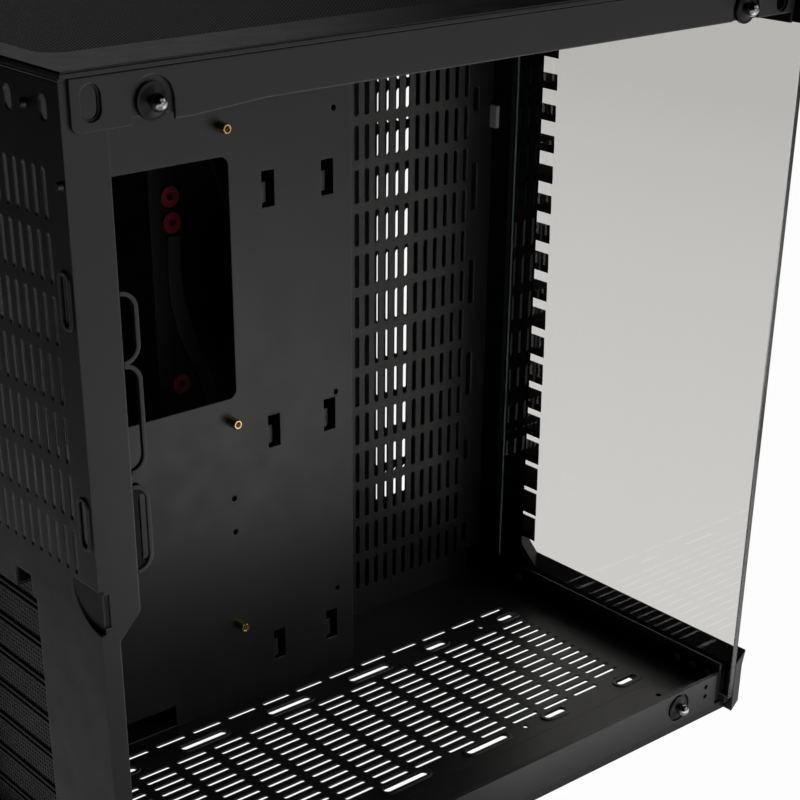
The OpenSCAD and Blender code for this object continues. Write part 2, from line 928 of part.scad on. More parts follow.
// cables that lie on the drive plate
module chamber_cables() {
    color([0.1, 0.1, 0.105]) {
        wall_xz(plate_y - 1.6, 1.6)
            translate([sx, sz])
                polygon([[-6, -64.5], [1.6, -64.5], [0.8, -84], [1.9, -100], [6.5, -116], [13, -134], [19, -150],
                    [22, -172], [14, -172], [11, -152], [4.5, -136], [-2.6, -118], [-6.6, -100], [-7.2, -82]]);
        wall_xz(plate_y - 1.3, 1.3)
            translate([sx, sz])
                polygon([[20, -10], [21.4, -10], [24.2, -28], [33, -53.5], [43, -84], [49, -120], [47.6, -120],
                    [41.6, -84.4], [31.7, -53.9], [22.8, -28.3]]);
    }
}

shelf_l = 160;
shelf_z = zf + 166;

module power_shelf() {
    color(steel)
    union() {
        box(xr + t, xr + shelf_l, sy + t, yr - t, shelf_z, shelf_z + t);
        box(xr + t, xr + shelf_l, yr - 2 * t, yr - t, shelf_z - 16, shelf_z + t);
        box(xr + 15, xr + shelf_l, yr - t - 0.01, yr, shelf_z - 12, shelf_z - 2);
    }
}

foot_pts = [[xg - 27, ys + 28], [xr + 34, ys + 28], [xg - 27, y1 - 28], [xr + 34, y1 - 28]];

module feet() {
    color(plastic)
    for (p = foot_pts)
        translate([p[0], p[1], 0]) {
            translate([0, 0, 3])
                linear_extrude(foot_h - 3)
                    slot_a(42, 18);
        }
}

module foot_pads() {
    color([0.03, 0.03, 0.03])
    for (p = foot_pts)
        translate([p[0], p[1], 0])
            linear_extrude(3)
                slot_a(38, 14);
}

// pale foam pad on the plate between the fan wall and the glass
module wall_pad() {
    color([0.62, 0.62, 0.6])
    box(xg - t - 2.5, xg - t, wall_y - 5.8, wall_y - 0.4, sz - 38, sz - 25);
}

floor_pan();
rear_panel();
roof_panel();
board_tray();
fan_wall();
front_plate();
right_panel();
front_glass();
glass_seal();
front_cover();
top_cover();
top_mesh();
top_rail();
bottom_rail();
base_frame();
slot_covers();
ball_studs();
standoffs();
sill_rivets();
rear_rivets();
fan_bracket();
drive_plate();
grommets();
chamber_cables();
power_shelf();
power_button();
io_block();
feet();
foot_pads();
wall_pad();
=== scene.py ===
"""Finishes, fine pieces and studio of a two-chamber mid-tower computer case."""

import json
import logging
import math
from dataclasses import dataclass
from enum import Enum

import bmesh
import bpy
from mathutils import Matrix, Vector

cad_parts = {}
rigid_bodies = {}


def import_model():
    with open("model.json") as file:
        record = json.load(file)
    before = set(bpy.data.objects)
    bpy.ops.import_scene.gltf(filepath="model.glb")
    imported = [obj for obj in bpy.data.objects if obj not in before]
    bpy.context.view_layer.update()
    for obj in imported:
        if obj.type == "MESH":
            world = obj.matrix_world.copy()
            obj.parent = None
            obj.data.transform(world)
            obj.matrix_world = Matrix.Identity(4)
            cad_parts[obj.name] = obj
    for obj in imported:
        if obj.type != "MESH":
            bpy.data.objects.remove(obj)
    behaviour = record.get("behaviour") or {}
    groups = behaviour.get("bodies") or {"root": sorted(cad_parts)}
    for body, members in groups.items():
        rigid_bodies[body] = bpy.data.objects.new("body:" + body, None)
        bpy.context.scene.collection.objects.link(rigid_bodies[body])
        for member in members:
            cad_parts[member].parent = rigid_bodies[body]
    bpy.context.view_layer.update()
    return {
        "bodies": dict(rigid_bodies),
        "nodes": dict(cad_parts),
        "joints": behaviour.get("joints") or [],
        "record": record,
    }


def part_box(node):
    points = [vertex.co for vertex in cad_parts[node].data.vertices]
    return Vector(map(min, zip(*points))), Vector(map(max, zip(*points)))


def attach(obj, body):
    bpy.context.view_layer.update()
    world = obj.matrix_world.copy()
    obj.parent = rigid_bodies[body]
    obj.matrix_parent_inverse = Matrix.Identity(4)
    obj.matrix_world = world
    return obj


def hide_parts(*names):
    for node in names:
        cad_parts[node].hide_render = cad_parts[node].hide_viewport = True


log = logging.getLogger("case")
MM = 0.001
STUD_DISC = 5.6 * MM
Colour = tuple[float, float, float]
Point = tuple[float, float, float]


class Body(Enum):
    """The rigid bodies that a piece can ride on."""

    CASE = "case"


class Change(Enum):
    """What a Boolean does to a sheet."""

    JOIN = "UNION"
    OPEN = "DIFFERENCE"


class PaneSlot(Enum):
    """Material indexes of the front pane."""

    PANE = 0
    GROUND = 1
    OUTER_ARRIS = 2
    NEAR = 3


class ShaderTree:
    """A material with a Principled surface and short calls for its nodes."""

    def __init__(self, name: str) -> None:
        """Starts an empty material.

        Args:
            name: The material's name.
        """
        self.material = bpy.data.materials.new(name)
        self.material.use_nodes = True
        self.tree = self.material.node_tree
        self.tree.nodes.clear()
        self.output = self.add("ShaderNodeOutputMaterial")
        self.surface = self.add("ShaderNodeBsdfPrincipled")
        self.join(self.surface.outputs["BSDF"], self.output.inputs["Surface"])
        self.place = self.add("ShaderNodeTexCoord").outputs["Object"]

    def add(self, kind: str, **settings: object) -> bpy.types.Node:
        """Adds a node.

        Args:
            kind: The node's type.
            settings: Attributes to set on it.

        Returns:
            The new node.
        """
        node = self.tree.nodes.new(kind)
        for key, value in settings.items():
            setattr(node, key, value)
        return node

    def join(self, start: bpy.types.NodeSocket, end: bpy.types.NodeSocket) -> None:
        """Links two sockets."""
        self.tree.links.new(start, end)

    def value(self, **sockets: object) -> None:
        """Sets uniform values on the surface, with spaces as underscores."""
        for key, value in sockets.items():
            self.surface.inputs[key.replace("_", " ")].default_value = value

    def noise(self, scale: float, detail: float = 2.0) -> bpy.types.NodeSocket:
        """A noise field on object coordinates.

        Args:
            scale: Features per metre.
            detail: Octaves.

        Returns:
            The factor socket.
        """
        node = self.add("ShaderNodeTexNoise")
        node.inputs["Scale"].default_value = scale
        node.inputs["Detail"].default_value = detail
        self.join(self.place, node.inputs["Vector"])
        return node.outputs["Fac"]

    def span(self, source: bpy.types.NodeSocket, low: float, high: float,
             start: float = 0.3, end: float = 0.7) -> bpy.types.NodeSocket:
        """Maps a factor from start..end to low..high.

        Args:
            source: The factor.
            low: Result at start.
            high: Result at end.
            start: Lower end of the input.
            end: Upper end of the input.

        Returns:
            The mapped socket.
        """
        node = self.add("ShaderNodeMapRange")
        self.join(source, node.inputs["Value"])
        for key, value in (("From Min", start), ("From Max", end), ("To Min", low), ("To Max", high)):
            node.inputs[key].default_value = value
        return node.outputs["Result"]

    def blend(self, factor: bpy.types.NodeSocket, first: Colour | bpy.types.NodeSocket,
              second: Colour) -> bpy.types.NodeSocket:
        """Mixes two colours by a factor.

        Args:
            factor: The mixing factor.
            first: Colour at zero, or a colour socket.
            second: Colour at one.

        Returns:
            The colour socket.
        """
        node = self.add("ShaderNodeMix", data_type="RGBA")
        self.join(factor, node.inputs["Factor"])
        if isinstance(first, tuple):
            node.inputs["A"].default_value = (*first, 1.0)
        else:
            self.join(first, node.inputs["A"])
        node.inputs["B"].default_value = (*second, 1.0)
        return node.outputs["Result"]

    def math(self, operation: str, first: bpy.types.NodeSocket, second: float | bpy.types.NodeSocket) \
            -> bpy.types.NodeSocket:
        """A math node of two values.

        Args:
            operation: The operation's name.
            first: The first value's socket.
            second: The second value, a number or a socket.

        Returns:
            The value socket.
        """
        node = self.add("ShaderNodeMath", operation=operation)
        self.join(first, node.inputs[0])
        if isinstance(second, (int, float)):
            node.inputs[1].default_value = second
        else:
            self.join(second, node.inputs[1])
        return node.outputs["Value"]

    def axis(self, name: str) -> bpy.types.NodeSocket:
        """One object coordinate, "X", "Y" or "Z"."""
        node = self.add("ShaderNodeSeparateXYZ")
        self.join(self.place, node.inputs["Vector"])
        return node.outputs[name]

    def bump(self, height: bpy.types.NodeSocket, depth: float, rounding: float = 0.0) \
            -> bpy.types.NodeSocket | None:
        """Raises the surface by a height field, over softly rounded edges.

        Args:
            height: The height field.
            depth: Its depth in metres.
            rounding: Radius of the rounded edges in metres, or zero for none.

        Returns:
            The normal of the rounded surface, or none.
        """
        node = self.add("ShaderNodeBump")
        node.inputs["Distance"].default_value = depth
        node.inputs["Strength"].default_value = 1.0
        self.join(height, node.inputs["Height"])
        rounded = None
        if rounding > 0.0:
            edge = self.add("ShaderNodeBevel", samples=4)
            edge.inputs["Radius"].default_value = rounding
            rounded = edge.outputs["Normal"]
            self.join(rounded, node.inputs["Normal"])
        self.join(node.outputs["Normal"], self.surface.inputs["Normal"])
        return rounded

    def tint(self, factor: bpy.types.NodeSocket, first: Colour, second: Colour) -> None:
        """Colours the surface between two colours by a factor."""
        self.join(self.blend(factor, first, second), self.surface.inputs["Base Color"])

    def gloss(self, factor: bpy.types.NodeSocket, low: float, high: float,
              start: float = 0.3, end: float = 0.7) -> None:
        """Sets the surface's roughness from a factor.

        Args:
            factor: The factor.
            low: Roughness at start.
            high: Roughness at end.
            start: Lower end of the factor.
            end: Upper end of the factor.
        """
        self.join(self.span(factor, low, high, start, end), self.surface.inputs["Roughness"])

    def clouds(self, scale: float, detail: float, first: Colour, second: Colour) -> None:
        """Colours the surface with soft clouds of two colours.

        Args:
            scale: Features per metre.
            detail: Octaves.
            first: Colour of the low places.
            second: Colour of the high places.
        """
        self.tint(self.span(self.noise(scale, detail), 0.0, 1.0), first, second)

    def cells(self, pitch: float, turn: Point, dimensions: str) -> bpy.types.NodeSocket:
        """Distances inside a regular field of cells.

        Args:
            pitch: Cell pitch in metres.
            turn: Turn of the field about each axis, in radians.
            dimensions: "2D" or "3D".

        Returns:
            The distance socket.
        """
        field = self.add("ShaderNodeMapping")
        field.inputs["Rotation"].default_value = turn
        self.join(self.place, field.inputs["Vector"])
        cells = self.add("ShaderNodeTexVoronoi", voronoi_dimensions=dimensions)
        cells.inputs["Scale"].default_value = 1.0 / pitch
        cells.inputs["Randomness"].default_value = 0.0
        self.join(field.outputs["Vector"], cells.inputs["Vector"])
        return cells.outputs["Distance"]

    def pick(self, factor: bpy.types.NodeSocket, other: bpy.types.NodeSocket) -> None:
        """Ends the material on its surface or, where the factor is 1, on another shader."""
        mix = self.add("ShaderNodeMixShader")
        self.join(factor, mix.inputs["Fac"])
        self.join(self.surface.outputs["BSDF"], mix.inputs[1])
        self.join(other, mix.inputs[2])
        self.join(mix.outputs["Shader"], self.output.inputs["Surface"])

    def edge(self, rounded: bpy.types.NodeSocket) -> bpy.types.NodeSocket:
        """A factor that is 1 on rounded edges and 0 on flat faces.

        Args:
            rounded: The normal of the rounded surface.

        Returns:
            The factor's socket.
        """
        face = self.add("ShaderNodeNewGeometry")
        align = self.add("ShaderNodeVectorMath", operation="DOT_PRODUCT")
        self.join(rounded, align.inputs[0])
        self.join(face.outputs["Normal"], align.inputs[1])
        return self.span(align.outputs["Value"], 1.0, 0.0, 0.85, 0.99)


@dataclass(frozen=True)
class PaintedSteel:
    """Black powder coat: a fine pebbled skin with a soft sheen, its rounded edges painted paler as a painted
    highlight.
    """

    name: str = "steel_black"
    colour: Colour = (0.0125, 0.0120, 0.0125)
    light: Colour = (0.0165, 0.0160, 0.0165)
    roughness: float = 0.42
    grain: float = 1700.0
    depth: float = 0.00002
    rounding: float = 0.0010
    sheen: float = 0.55
    smear: float = 0.035
    edge_gloss: float = 0.2
    # Paler colour painted on the rounded edges: a painted highlight, not wear of the paint.
    edge_highlight: Colour = (0.10, 0.10, 0.10)

    def build(self) -> bpy.types.Material:
        """Builds the material.

        Returns:
            The material.
        """
        skin = ShaderTree(self.name)
        skin.value(Specular_IOR_Level=self.sheen)
        tone = skin.span(skin.noise(22.0, 3.0), 0.0, 1.0)
        coat = skin.blend(tone, self.colour, self.light)
        rough = skin.span(skin.noise(60.0, 4.0), self.roughness - self.smear, self.roughness + self.smear)
        rounded = skin.bump(skin.noise(self.grain, 2.0), self.depth, self.rounding)
        fold = skin.edge(rounded)
        # Painted highlight: the rounded edges are blended towards the paler edge colour.
        skin.join(skin.blend(fold, coat, self.edge_highlight), skin.surface.inputs["Base Color"])
        skin.join(skin.math("SUBTRACT", rough, skin.math("MULTIPLY", fold, self.edge_gloss)),
                  skin.surface.inputs["Roughness"])
        return skin.material


@dataclass(frozen=True)
class MouldedPlastic:
    """Black moulded plastic with a fine spark-eroded texture."""

    name: str = "plastic_black"
    colour: Colour = (0.0110, 0.0110, 0.0112)
    light: Colour = (0.0140, 0.0140, 0.0138)
    roughness: float = 0.38
    smear: float = 0.04
    grain: float = 2600.0

    def build(self) -> bpy.types.Material:
        """Builds the material.

        Returns:
            The material.
        """
        skin = ShaderTree(self.name)
        skin.value(Specular_IOR_Level=0.5)
        skin.clouds(35.0, 3.0, self.colour, self.light)
        skin.gloss(skin.noise(90.0, 4.0), self.roughness - self.smear, self.roughness + self.smear)
        skin.bump(skin.noise(self.grain, 1.0), 0.000012, 0.0005)
        return skin.material


@dataclass(frozen=True)
class FilterSheet:
    """Fine perforated filter sheet in dark olive grey, its holes painted near black as painted shade."""

    name: str = "filter_grey"
    sheet: Colour = (0.0260, 0.0270, 0.0210)
    # Painted shade: the holes are not cut; this near-black colour stands for the shaded space seen through
    # them.
    hole: Colour = (0.0040, 0.0040, 0.0035)
    pitch: float = 1.5 * MM
    hole_share: float = 0.34
    blur: float = 0.06
    depth: float = 0.0003

    def build(self) -> bpy.types.Material:
        """Builds the material.

        Returns:
            The material.
        """
        skin = ShaderTree(self.name)
        distance = skin.cells(self.pitch, (0.0, 0.0, math.radians(45.0)), "2D")
        rim = skin.span(distance, 0.0, 1.0, self.hole_share - self.blur, self.hole_share + self.blur)
        # Painted shade in the holes, the sheet's own colour round them.
        skin.tint(rim, self.hole, self.sheet)
        skin.gloss(rim, 0.9, 0.5, 0.0, 1.0)
        skin.bump(rim, self.depth)
        return skin.material


@dataclass(frozen=True)
class ClearGlass:
    """Grey tinted toughened glass, clear to shadow rays."""

    name: str = "glass_front"
    tint: Colour = (0.69, 0.674, 0.653)

    def build(self) -> bpy.types.Material:
        """Builds the material.

        Returns:
            The material.
        """
        pane = ShaderTree(self.name)
        pane.value(Base_Color=(*self.tint, 1.0), Roughness=0.0, IOR=1.5, Transmission_Weight=1.0)
        clear = pane.add("ShaderNodeBsdfTransparent")
        clear.inputs["Color"].default_value = (*self.tint, 1.0)
        ray = pane.add("ShaderNodeLightPath")
        pane.pick(ray.outputs["Is Shadow Ray"], clear.outputs["BSDF"])
        return pane.material


@dataclass(frozen=True)
class GlassEdge:
    """The ground, green edge of the glass, half clear."""

    name: str = "glass_edge"
    colour: Colour = (0.30, 0.52, 0.47)
    bright: Colour = (0.62, 0.80, 0.76)
    clear: float = 0.35

    def build(self) -> bpy.types.Material:
        """Builds the material.

        Returns:
            The material.
        """
        edge = ShaderTree(self.name)
        edge.value(Specular_IOR_Level=0.7, Coat_Weight=0.6, Coat_Roughness=0.05, IOR=1.5,
                   Transmission_Weight=self.clear)
        edge.clouds(45.0, 3.0, self.colour, self.bright)
        edge.gloss(edge.noise(900.0, 2.0), 0.12, 0.28)
        return edge.material


@dataclass(frozen=True)
class NearEdge:
    """The near edge of the glass: pale inside, with a dark line along the outer arris."""

    start: float
    end: float
    name: str = "glass_edge_near"
    pale: Colour = (0.86, 0.90, 0.88)
    dark: Colour = (0.010, 0.017, 0.016)
    waver: float = 0.0006

    def build(self) -> bpy.types.Material:
        """Builds the material.

        Returns:
            The material.
        """
        edge = ShaderTree(self.name)
        edge.value(Specular_IOR_Level=0.5, IOR=1.5, Transmission_Weight=0.94)
        wave = edge.math("MULTIPLY", edge.noise(60.0, 2.0), self.waver)
        across = edge.span(edge.math("ADD", edge.axis("X"), wave), 0.0, 1.0, self.start, self.end)
        edge.tint(across, self.pale, self.dark)
        edge.gloss(edge.noise(900.0, 2.0), 0.12, 0.26)
        return edge.material


@dataclass(frozen=True)
class GlassArris:
    """The dark line that the chamfer of the glass shows."""

    name: str = "glass_arris"
    colour: Colour = (0.004, 0.010, 0.009)
    light: Colour = (0.008, 0.020, 0.018)

    def build(self) -> bpy.types.Material:
        """Builds the material.

        Returns:
            The material.
        """
        line = ShaderTree(self.name)
        line.value(Specular_IOR_Level=0.8)
        line.clouds(120.0, 3.0, self.colour, self.light)
        line.gloss(line.noise(900.0, 2.0), 0.1, 0.25)
        return line.material


@dataclass(frozen=True)
class Metal:
    """Bare or plated metal with fine turning marks."""

    name: str
    colour: Colour
    shade: Colour
    roughness: float = 0.25
    grain: float = 3000.0

    def build(self) -> bpy.types.Material:
        """Builds the material.

        Returns:
            The material.
        """
        skin = ShaderTree(self.name)
        skin.value(Metallic=1.0)
        skin.clouds(400.0, 3.0, self.shade, self.colour)
        skin.gloss(skin.noise(self.grain, 2.0), self.roughness - 0.05, self.roughness + 0.08)
        skin.bump(skin.noise(self.grain, 1.0), 0.000004, 0.0002)
        return skin.material


@dataclass(frozen=True)
class StudMetal:
    """Blackened disc with a bright ball: the bright part starts at a depth along Y."""

    split: float
    name: str = "stud_dark"
    dark: Colour = (0.030, 0.030, 0.032)
    bright: Colour = (0.42, 0.41, 0.40)
    blur: float = 0.00015

    def build(self) -> bpy.types.Material:
        """Builds the material.

        Returns:
            The material.
        """
        skin = ShaderTree(self.name)
        skin.value(Metallic=1.0)
        outer = skin.span(skin.axis("Y"), 1.0, 0.0, self.split - self.blur, self.split + self.blur)
        skin.tint(outer, self.dark, self.bright)
        skin.gloss(outer, 0.34, 0.16, 0.0, 1.0)
        skin.bump(skin.noise(3000.0, 1.0), 0.000004, 0.0004)
        return skin.material


@dataclass(frozen=True)
class Rubber:
    """Matte rubber with a faint bloom."""

    name: str
    colour: Colour
    bloom: Colour
    roughness: float = 0.62

    def build(self) -> bpy.types.Material:
        """Builds the material.

        Returns:
            The material.
        """
        skin = ShaderTree(self.name)
        skin.value(Specular_IOR_Level=0.4, Sheen_Weight=0.08)
        skin.clouds(160.0, 4.0, self.colour, self.bloom)
        skin.gloss(skin.noise(700.0, 2.0), self.roughness - 0.05, self.roughness + 0.08)
        skin.bump(skin.noise(2200.0, 2.0), 0.00002, 0.0004)
        return skin.material


@dataclass(frozen=True)
class BraidedSleeve:
    """Woven cable sleeve: two crossing sets of fine threads."""

    name: str = "cable_grey"
    thread: Colour = (0.050, 0.050, 0.052)
    gap: Colour = (0.010, 0.010, 0.011)
    pitch: float = 0.9 * MM
    depth: float = 0.00015

    def build(self) -> bpy.types.Material:
        """Builds the material.

        Returns:
            The material.
        """
        skin = ShaderTree(self.name)
        skin.value(Specular_IOR_Level=0.45, Sheen_Weight=0.15)
        lump = skin.span(skin.cells(self.pitch, (0.0, math.radians(45.0), 0.0), "3D"), 1.0, 0.0, 0.15, 0.6)
        skin.tint(lump, self.gap, self.thread)
        skin.gloss(lump, 0.75, 0.5, 0.0, 1.0)
        skin.bump(lump, self.depth)
        return skin.material


@dataclass(frozen=True)
class Foam:
    """Pale open-cell foam."""

    name: str = "foam_pale"
    colour: Colour = (0.86, 0.86, 0.83)
    pore: Colour = (0.68, 0.68, 0.66)

    def build(self) -> bpy.types.Material:
        """Builds the material.

        Returns:
            The material.
        """
        skin = ShaderTree(self.name)
        skin.value(Specular_IOR_Level=0.2, Sheen_Weight=0.3)
        pores = skin.span(skin.noise(2600.0, 3.0), 0.0, 1.0, 0.4, 0.6)
        skin.tint(pores, self.pore, self.colour)
        skin.gloss(pores, 0.95, 0.8, 0.0, 1.0)
        skin.bump(pores, 0.0002, 0.0005)
        return skin.material


class GeometryTree:
    """A geometry node group with named inputs, turned into a plain mesh."""

    def __init__(self, name: str) -> None:
        """Starts a group with a mesh output.

        Args:
            name: The group's name.
        """
        self.group = bpy.data.node_groups.new(name, "GeometryNodeTree")
        self.group.interface.new_socket("Geometry", in_out="OUTPUT", socket_type="NodeSocketGeometry")
        self.outer = self.group.nodes.new("NodeGroupOutput")
        self.inner = self.group.nodes.new("NodeGroupInput")
        self.values: dict[str, object] = {}

    def size(self, name: str, value: object, kind: str = "NodeSocketFloat") -> bpy.types.NodeSocket:
        """Adds a named input with its value.

        Args:
            name: The input's name.
            value: The value that the modifier gets.
            kind: The socket's type.

        Returns:
            The input's socket inside the group.
        """
        item = self.group.interface.new_socket(name, in_out="INPUT", socket_type=kind)
        self.values[item.identifier] = value
        return self.inner.outputs[name]

    def add(self, kind: str, **settings: object) -> bpy.types.Node:
        """Adds a node and sets its attributes."""
        node = self.group.nodes.new(kind)
        for key, value in settings.items():
            setattr(node, key, value)
        return node

    def join(self, start: bpy.types.NodeSocket, end: bpy.types.NodeSocket) -> None:
        """Links two sockets."""
        self.group.links.new(start, end)

    def math(self, operation: str, first: object, second: object) -> bpy.types.NodeSocket:
        """A math node whose inputs are sockets or numbers.

        Args:
            operation: The operation's name.
            first: The first value.
            second: The second value.

        Returns:
            The value socket.
        """
        node = self.add("ShaderNodeMath", operation=operation)
        for slot, value in enumerate((first, second)):
            if isinstance(value, (int, float)):
                node.inputs[slot].default_value = value
            else:
                self.join(value, node.inputs[slot])
        return node.outputs["Value"]

    def finish(self, geometry: bpy.types.NodeSocket, material: bpy.types.Material, name: str) \
            -> bpy.types.Mesh:
        """Realizes and dresses the geometry and returns it as a plain mesh.

        Args:
            geometry: The geometry socket to end on.
            material: The finish to set.
            name: The mesh's name.

        Returns:
            The evaluated mesh.
        """
        real = self.add("GeometryNodeRealizeInstances")
        dress = self.add("GeometryNodeSetMaterial")
        dress.inputs["Material"].default_value = material
        self.join(geometry, real.inputs["Geometry"])
        self.join(real.outputs["Geometry"], dress.inputs["Geometry"])
        self.join(dress.outputs["Geometry"], self.outer.inputs["Geometry"])
        carrier = bpy.data.objects.new(name + "_carrier", bpy.data.meshes.new(name + "_carrier"))
        bpy.context.scene.collection.objects.link(carrier)
        modifier = carrier.modifiers.new("build", "NODES")
        modifier.node_group = self.group
        for identifier, value in self.values.items():
            modifier[identifier] = value
        bpy.context.view_layer.update()
        graph = bpy.context.evaluated_depsgraph_get()
        mesh = bpy.data.meshes.new_from_object(carrier.evaluated_get(graph))
        mesh.name = name
        bpy.data.objects.remove(carrier)
        return mesh


def mesh_piece(name: str, mesh: bpy.types.Mesh,
               material: bpy.types.Material | None = None) -> bpy.types.Object:
    """Links a mesh as a piece at the origin.

    Args:
        name: The piece's name.
        mesh: Its mesh, in the case's frame.
        material: Its finish, where the mesh has none yet.

    Returns:
        The new object.
    """
    piece = bpy.data.objects.new(name, mesh)
    bpy.context.scene.collection.objects.link(piece)
    if material is not None:
        mesh.materials.clear()
        mesh.materials.append(material)
    log.info("made %s", name)
    return piece


def bare_object(name: str, form: bmesh.types.BMesh) -> bpy.types.Object:
    """Turns a bmesh into an unlinked object for instancing.

    Args:
        name: The object's name.
        form: The bmesh, freed here.

    Returns:
        The object.
    """
    mesh = bpy.data.meshes.new(name)
    form.to_mesh(mesh)
    form.free()
    return bpy.data.objects.new(name, mesh)


@dataclass
class SheetShell:
    """The folded steel pieces, dressed as they come from the model."""

    steel: bpy.types.Material
    nodes: tuple[str, ...] = ("floor_pan", "rear_panel", "roof_panel", "board_tray", "fan_wall",
                              "right_panel", "top_rail", "bottom_rail", "power_shelf")

    def dress(self, frame: dict) -> None:
        """Gives each sheet its coat."""
        for name in self.nodes:
            assign(frame, name, self.steel)


def assign(frame: dict, name: str, material: bpy.types.Material) -> None:
    """Puts one finish on a node of the model.

    Args:
        frame: The loaded frame.
        name: The node.
        material: Its finish.
    """
    mesh = frame["nodes"][name].data
    mesh.materials.clear()
    mesh.materials.append(material)
    log.info("dressed %s in %s", name, material.name)


@dataclass
class OpenedSheet:
    """A sheet of the model taken over, with added forms and with more openings."""

    node: str
    steel: bpy.types.Material
    crossing: bool = False
    merge: float = 1e-6

    def block(self, form: bmesh.types.BMesh, low: Point, high: Point) -> None:
        """Adds a box from its two corners, in millimetres.

        Args:
            form: The bmesh that takes it.
            low: Least corner.
            high: Greatest corner.
        """
        outline = [(low[0], low[1]), (high[0], low[1]), (high[0], high[1]), (low[0], high[1])]
        self.prism(form, outline, low[2], high[2])

    @staticmethod
    def prism(form: bmesh.types.BMesh, outline: list[tuple[float, float]], low: float, high: float,
              lying: bool = False) -> None:
        """Adds a prism, in millimetres.

        Args:
            form: The bmesh that takes it.
            outline: Its corners in X and Y, against the clock, or in X and Z where it lies.
            low: Where it starts, along Z or, where it lies, along Y.
            high: Where it ends.
            lying: Whether it runs along Y.
        """
        ends = [[(x, level, v) if lying else (x, v, level) for x, v in outline] for level in (low, high)]
        foot, head = ([form.verts.new(Vector(corner) * MM) for corner in end] for end in ends)
        form.faces.new(foot[::-1])
        form.faces.new(head)
        for k, corner in enumerate(foot):
            after = (k + 1) % len(foot)
            form.faces.new((corner, foot[after], head[after], head[k]))

    @staticmethod
    def obround(x: float, y: float, length: float, width: float, steps: int = 8) -> list[tuple[float, float]]:
        """Corners of an obround that lies along X.

        Args:
            x: Its middle.
            y: Its middle.
            length: Full length.
            width: Full width.
            steps: Segments of each round end.

        Returns:
            The corners, against the clock.
        """
        reach, radius = (length - width) / 2, width / 2
        corners = []
        for side, start in ((1, -0.5), (-1, 0.5)):
            for k in range(steps + 1):
                angle = math.pi * (start + k / steps)
                corners.append((x + side * reach + radius * math.cos(angle), y + radius * math.sin(angle)))
        return corners

    def work(self, frame: dict, added: bmesh.types.BMesh, opened: list[bmesh.types.BMesh]) \
            -> bpy.types.Object:
        """Copies the sheet, cuts the openings and joins what is added before the last cut.

        Args:
            frame: The loaded frame.
            added: Solid forms to join.
            opened: Sets of solid forms to cut away, one set after the other.

        Returns:
            The piece that stands for the node.
        """
        piece = mesh_piece(f"{self.node}_full", frame["nodes"][self.node].data.copy(), self.steel)
        passes = [(Change.OPEN, form) for form in opened]
        passes.insert(len(opened) - 1, (Change.JOIN, added))
        for step, (kind, form) in enumerate(passes):
            bmesh.ops.recalc_face_normals(form, faces=form.faces)
            tool = bare_object(f"{self.node}_tool_{step}", form)
            bpy.context.scene.collection.objects.link(tool)
            change = piece.modifiers.new("change", "BOOLEAN")
            change.operation, change.solver, change.object = kind.value, "EXACT", tool
            change.use_self = self.crossing
            bpy.context.view_layer.update()
            graph = bpy.context.evaluated_depsgraph_get()
            plain = bpy.data.meshes.new_from_object(piece.evaluated_get(graph))
            piece.modifiers.clear()
            piece.data = plain
            bpy.data.objects.remove(tool)
        clean = bmesh.new()
        clean.from_mesh(piece.data)
        bmesh.ops.remove_doubles(clean, verts=clean.verts, dist=self.merge)
        bmesh.ops.dissolve_degenerate(clean, edges=clean.edges, dist=self.merge)
        clean.to_mesh(piece.data)
        clean.free()
        piece.data.materials.clear()
        piece.data.materials.append(self.steel)
        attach(piece, Body.CASE.value)
        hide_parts(self.node)
        log.info("%s has %d faces", piece.name, len(piece.data.polygons))
        return piece


@dataclass
class FloorPan(OpenedSheet):
    """The floor, its slot field carried on towards the rear."""

    slot: tuple[float, float] = (19.6, 2.8)
    pitch: float = 24.8
    step: float = 7.24
    first_x: float = 159.5
    foot_y: float = 30.5
    grid_y: float = 9.3
    rows: int = 13
    columns: tuple[int, ...] = (11, 12)
    fan_slot: tuple[float, float] = (30.6, 5.0)
    fan_x: float = -134.2
    fan_y: tuple[float, float] = (19.5, -85.5)
    rim: float = 2.2
    rim_rise: float = 0.7
    rim_root: float = 0.6
    top: float = 33.5
    slot_cut: float = 4.0
    fan_cut: float = 4.1

    def build(self, frame: dict) -> bpy.types.Object:
        """Adds the rims and cuts the slots.

        Args:
            frame: The loaded frame.

        Returns:
            The piece that stands for the floor pan.
        """
        added, opened = bmesh.new(), bmesh.new()
        for column in self.columns:
            x = self.first_x - column * self.pitch
            for y in [self.foot_y] + [self.grid_y - row * self.step for row in range(self.rows)]:
                slot = self.obround(x, y, *self.slot)
                self.prism(opened, slot, self.top - self.slot_cut, self.top + self.slot_cut)
        length, width = self.fan_slot
        for y in self.fan_y:
            outer = self.obround(self.fan_x, y, length + 2 * self.rim, width + 2 * self.rim)
            self.prism(added, outer, self.top - self.rim_root, self.top + self.rim_rise)
            slot = self.obround(self.fan_x, y, length, width)
            self.prism(opened, slot, self.top - self.fan_cut, self.top + self.fan_cut)
        return self.work(frame, added, [opened])


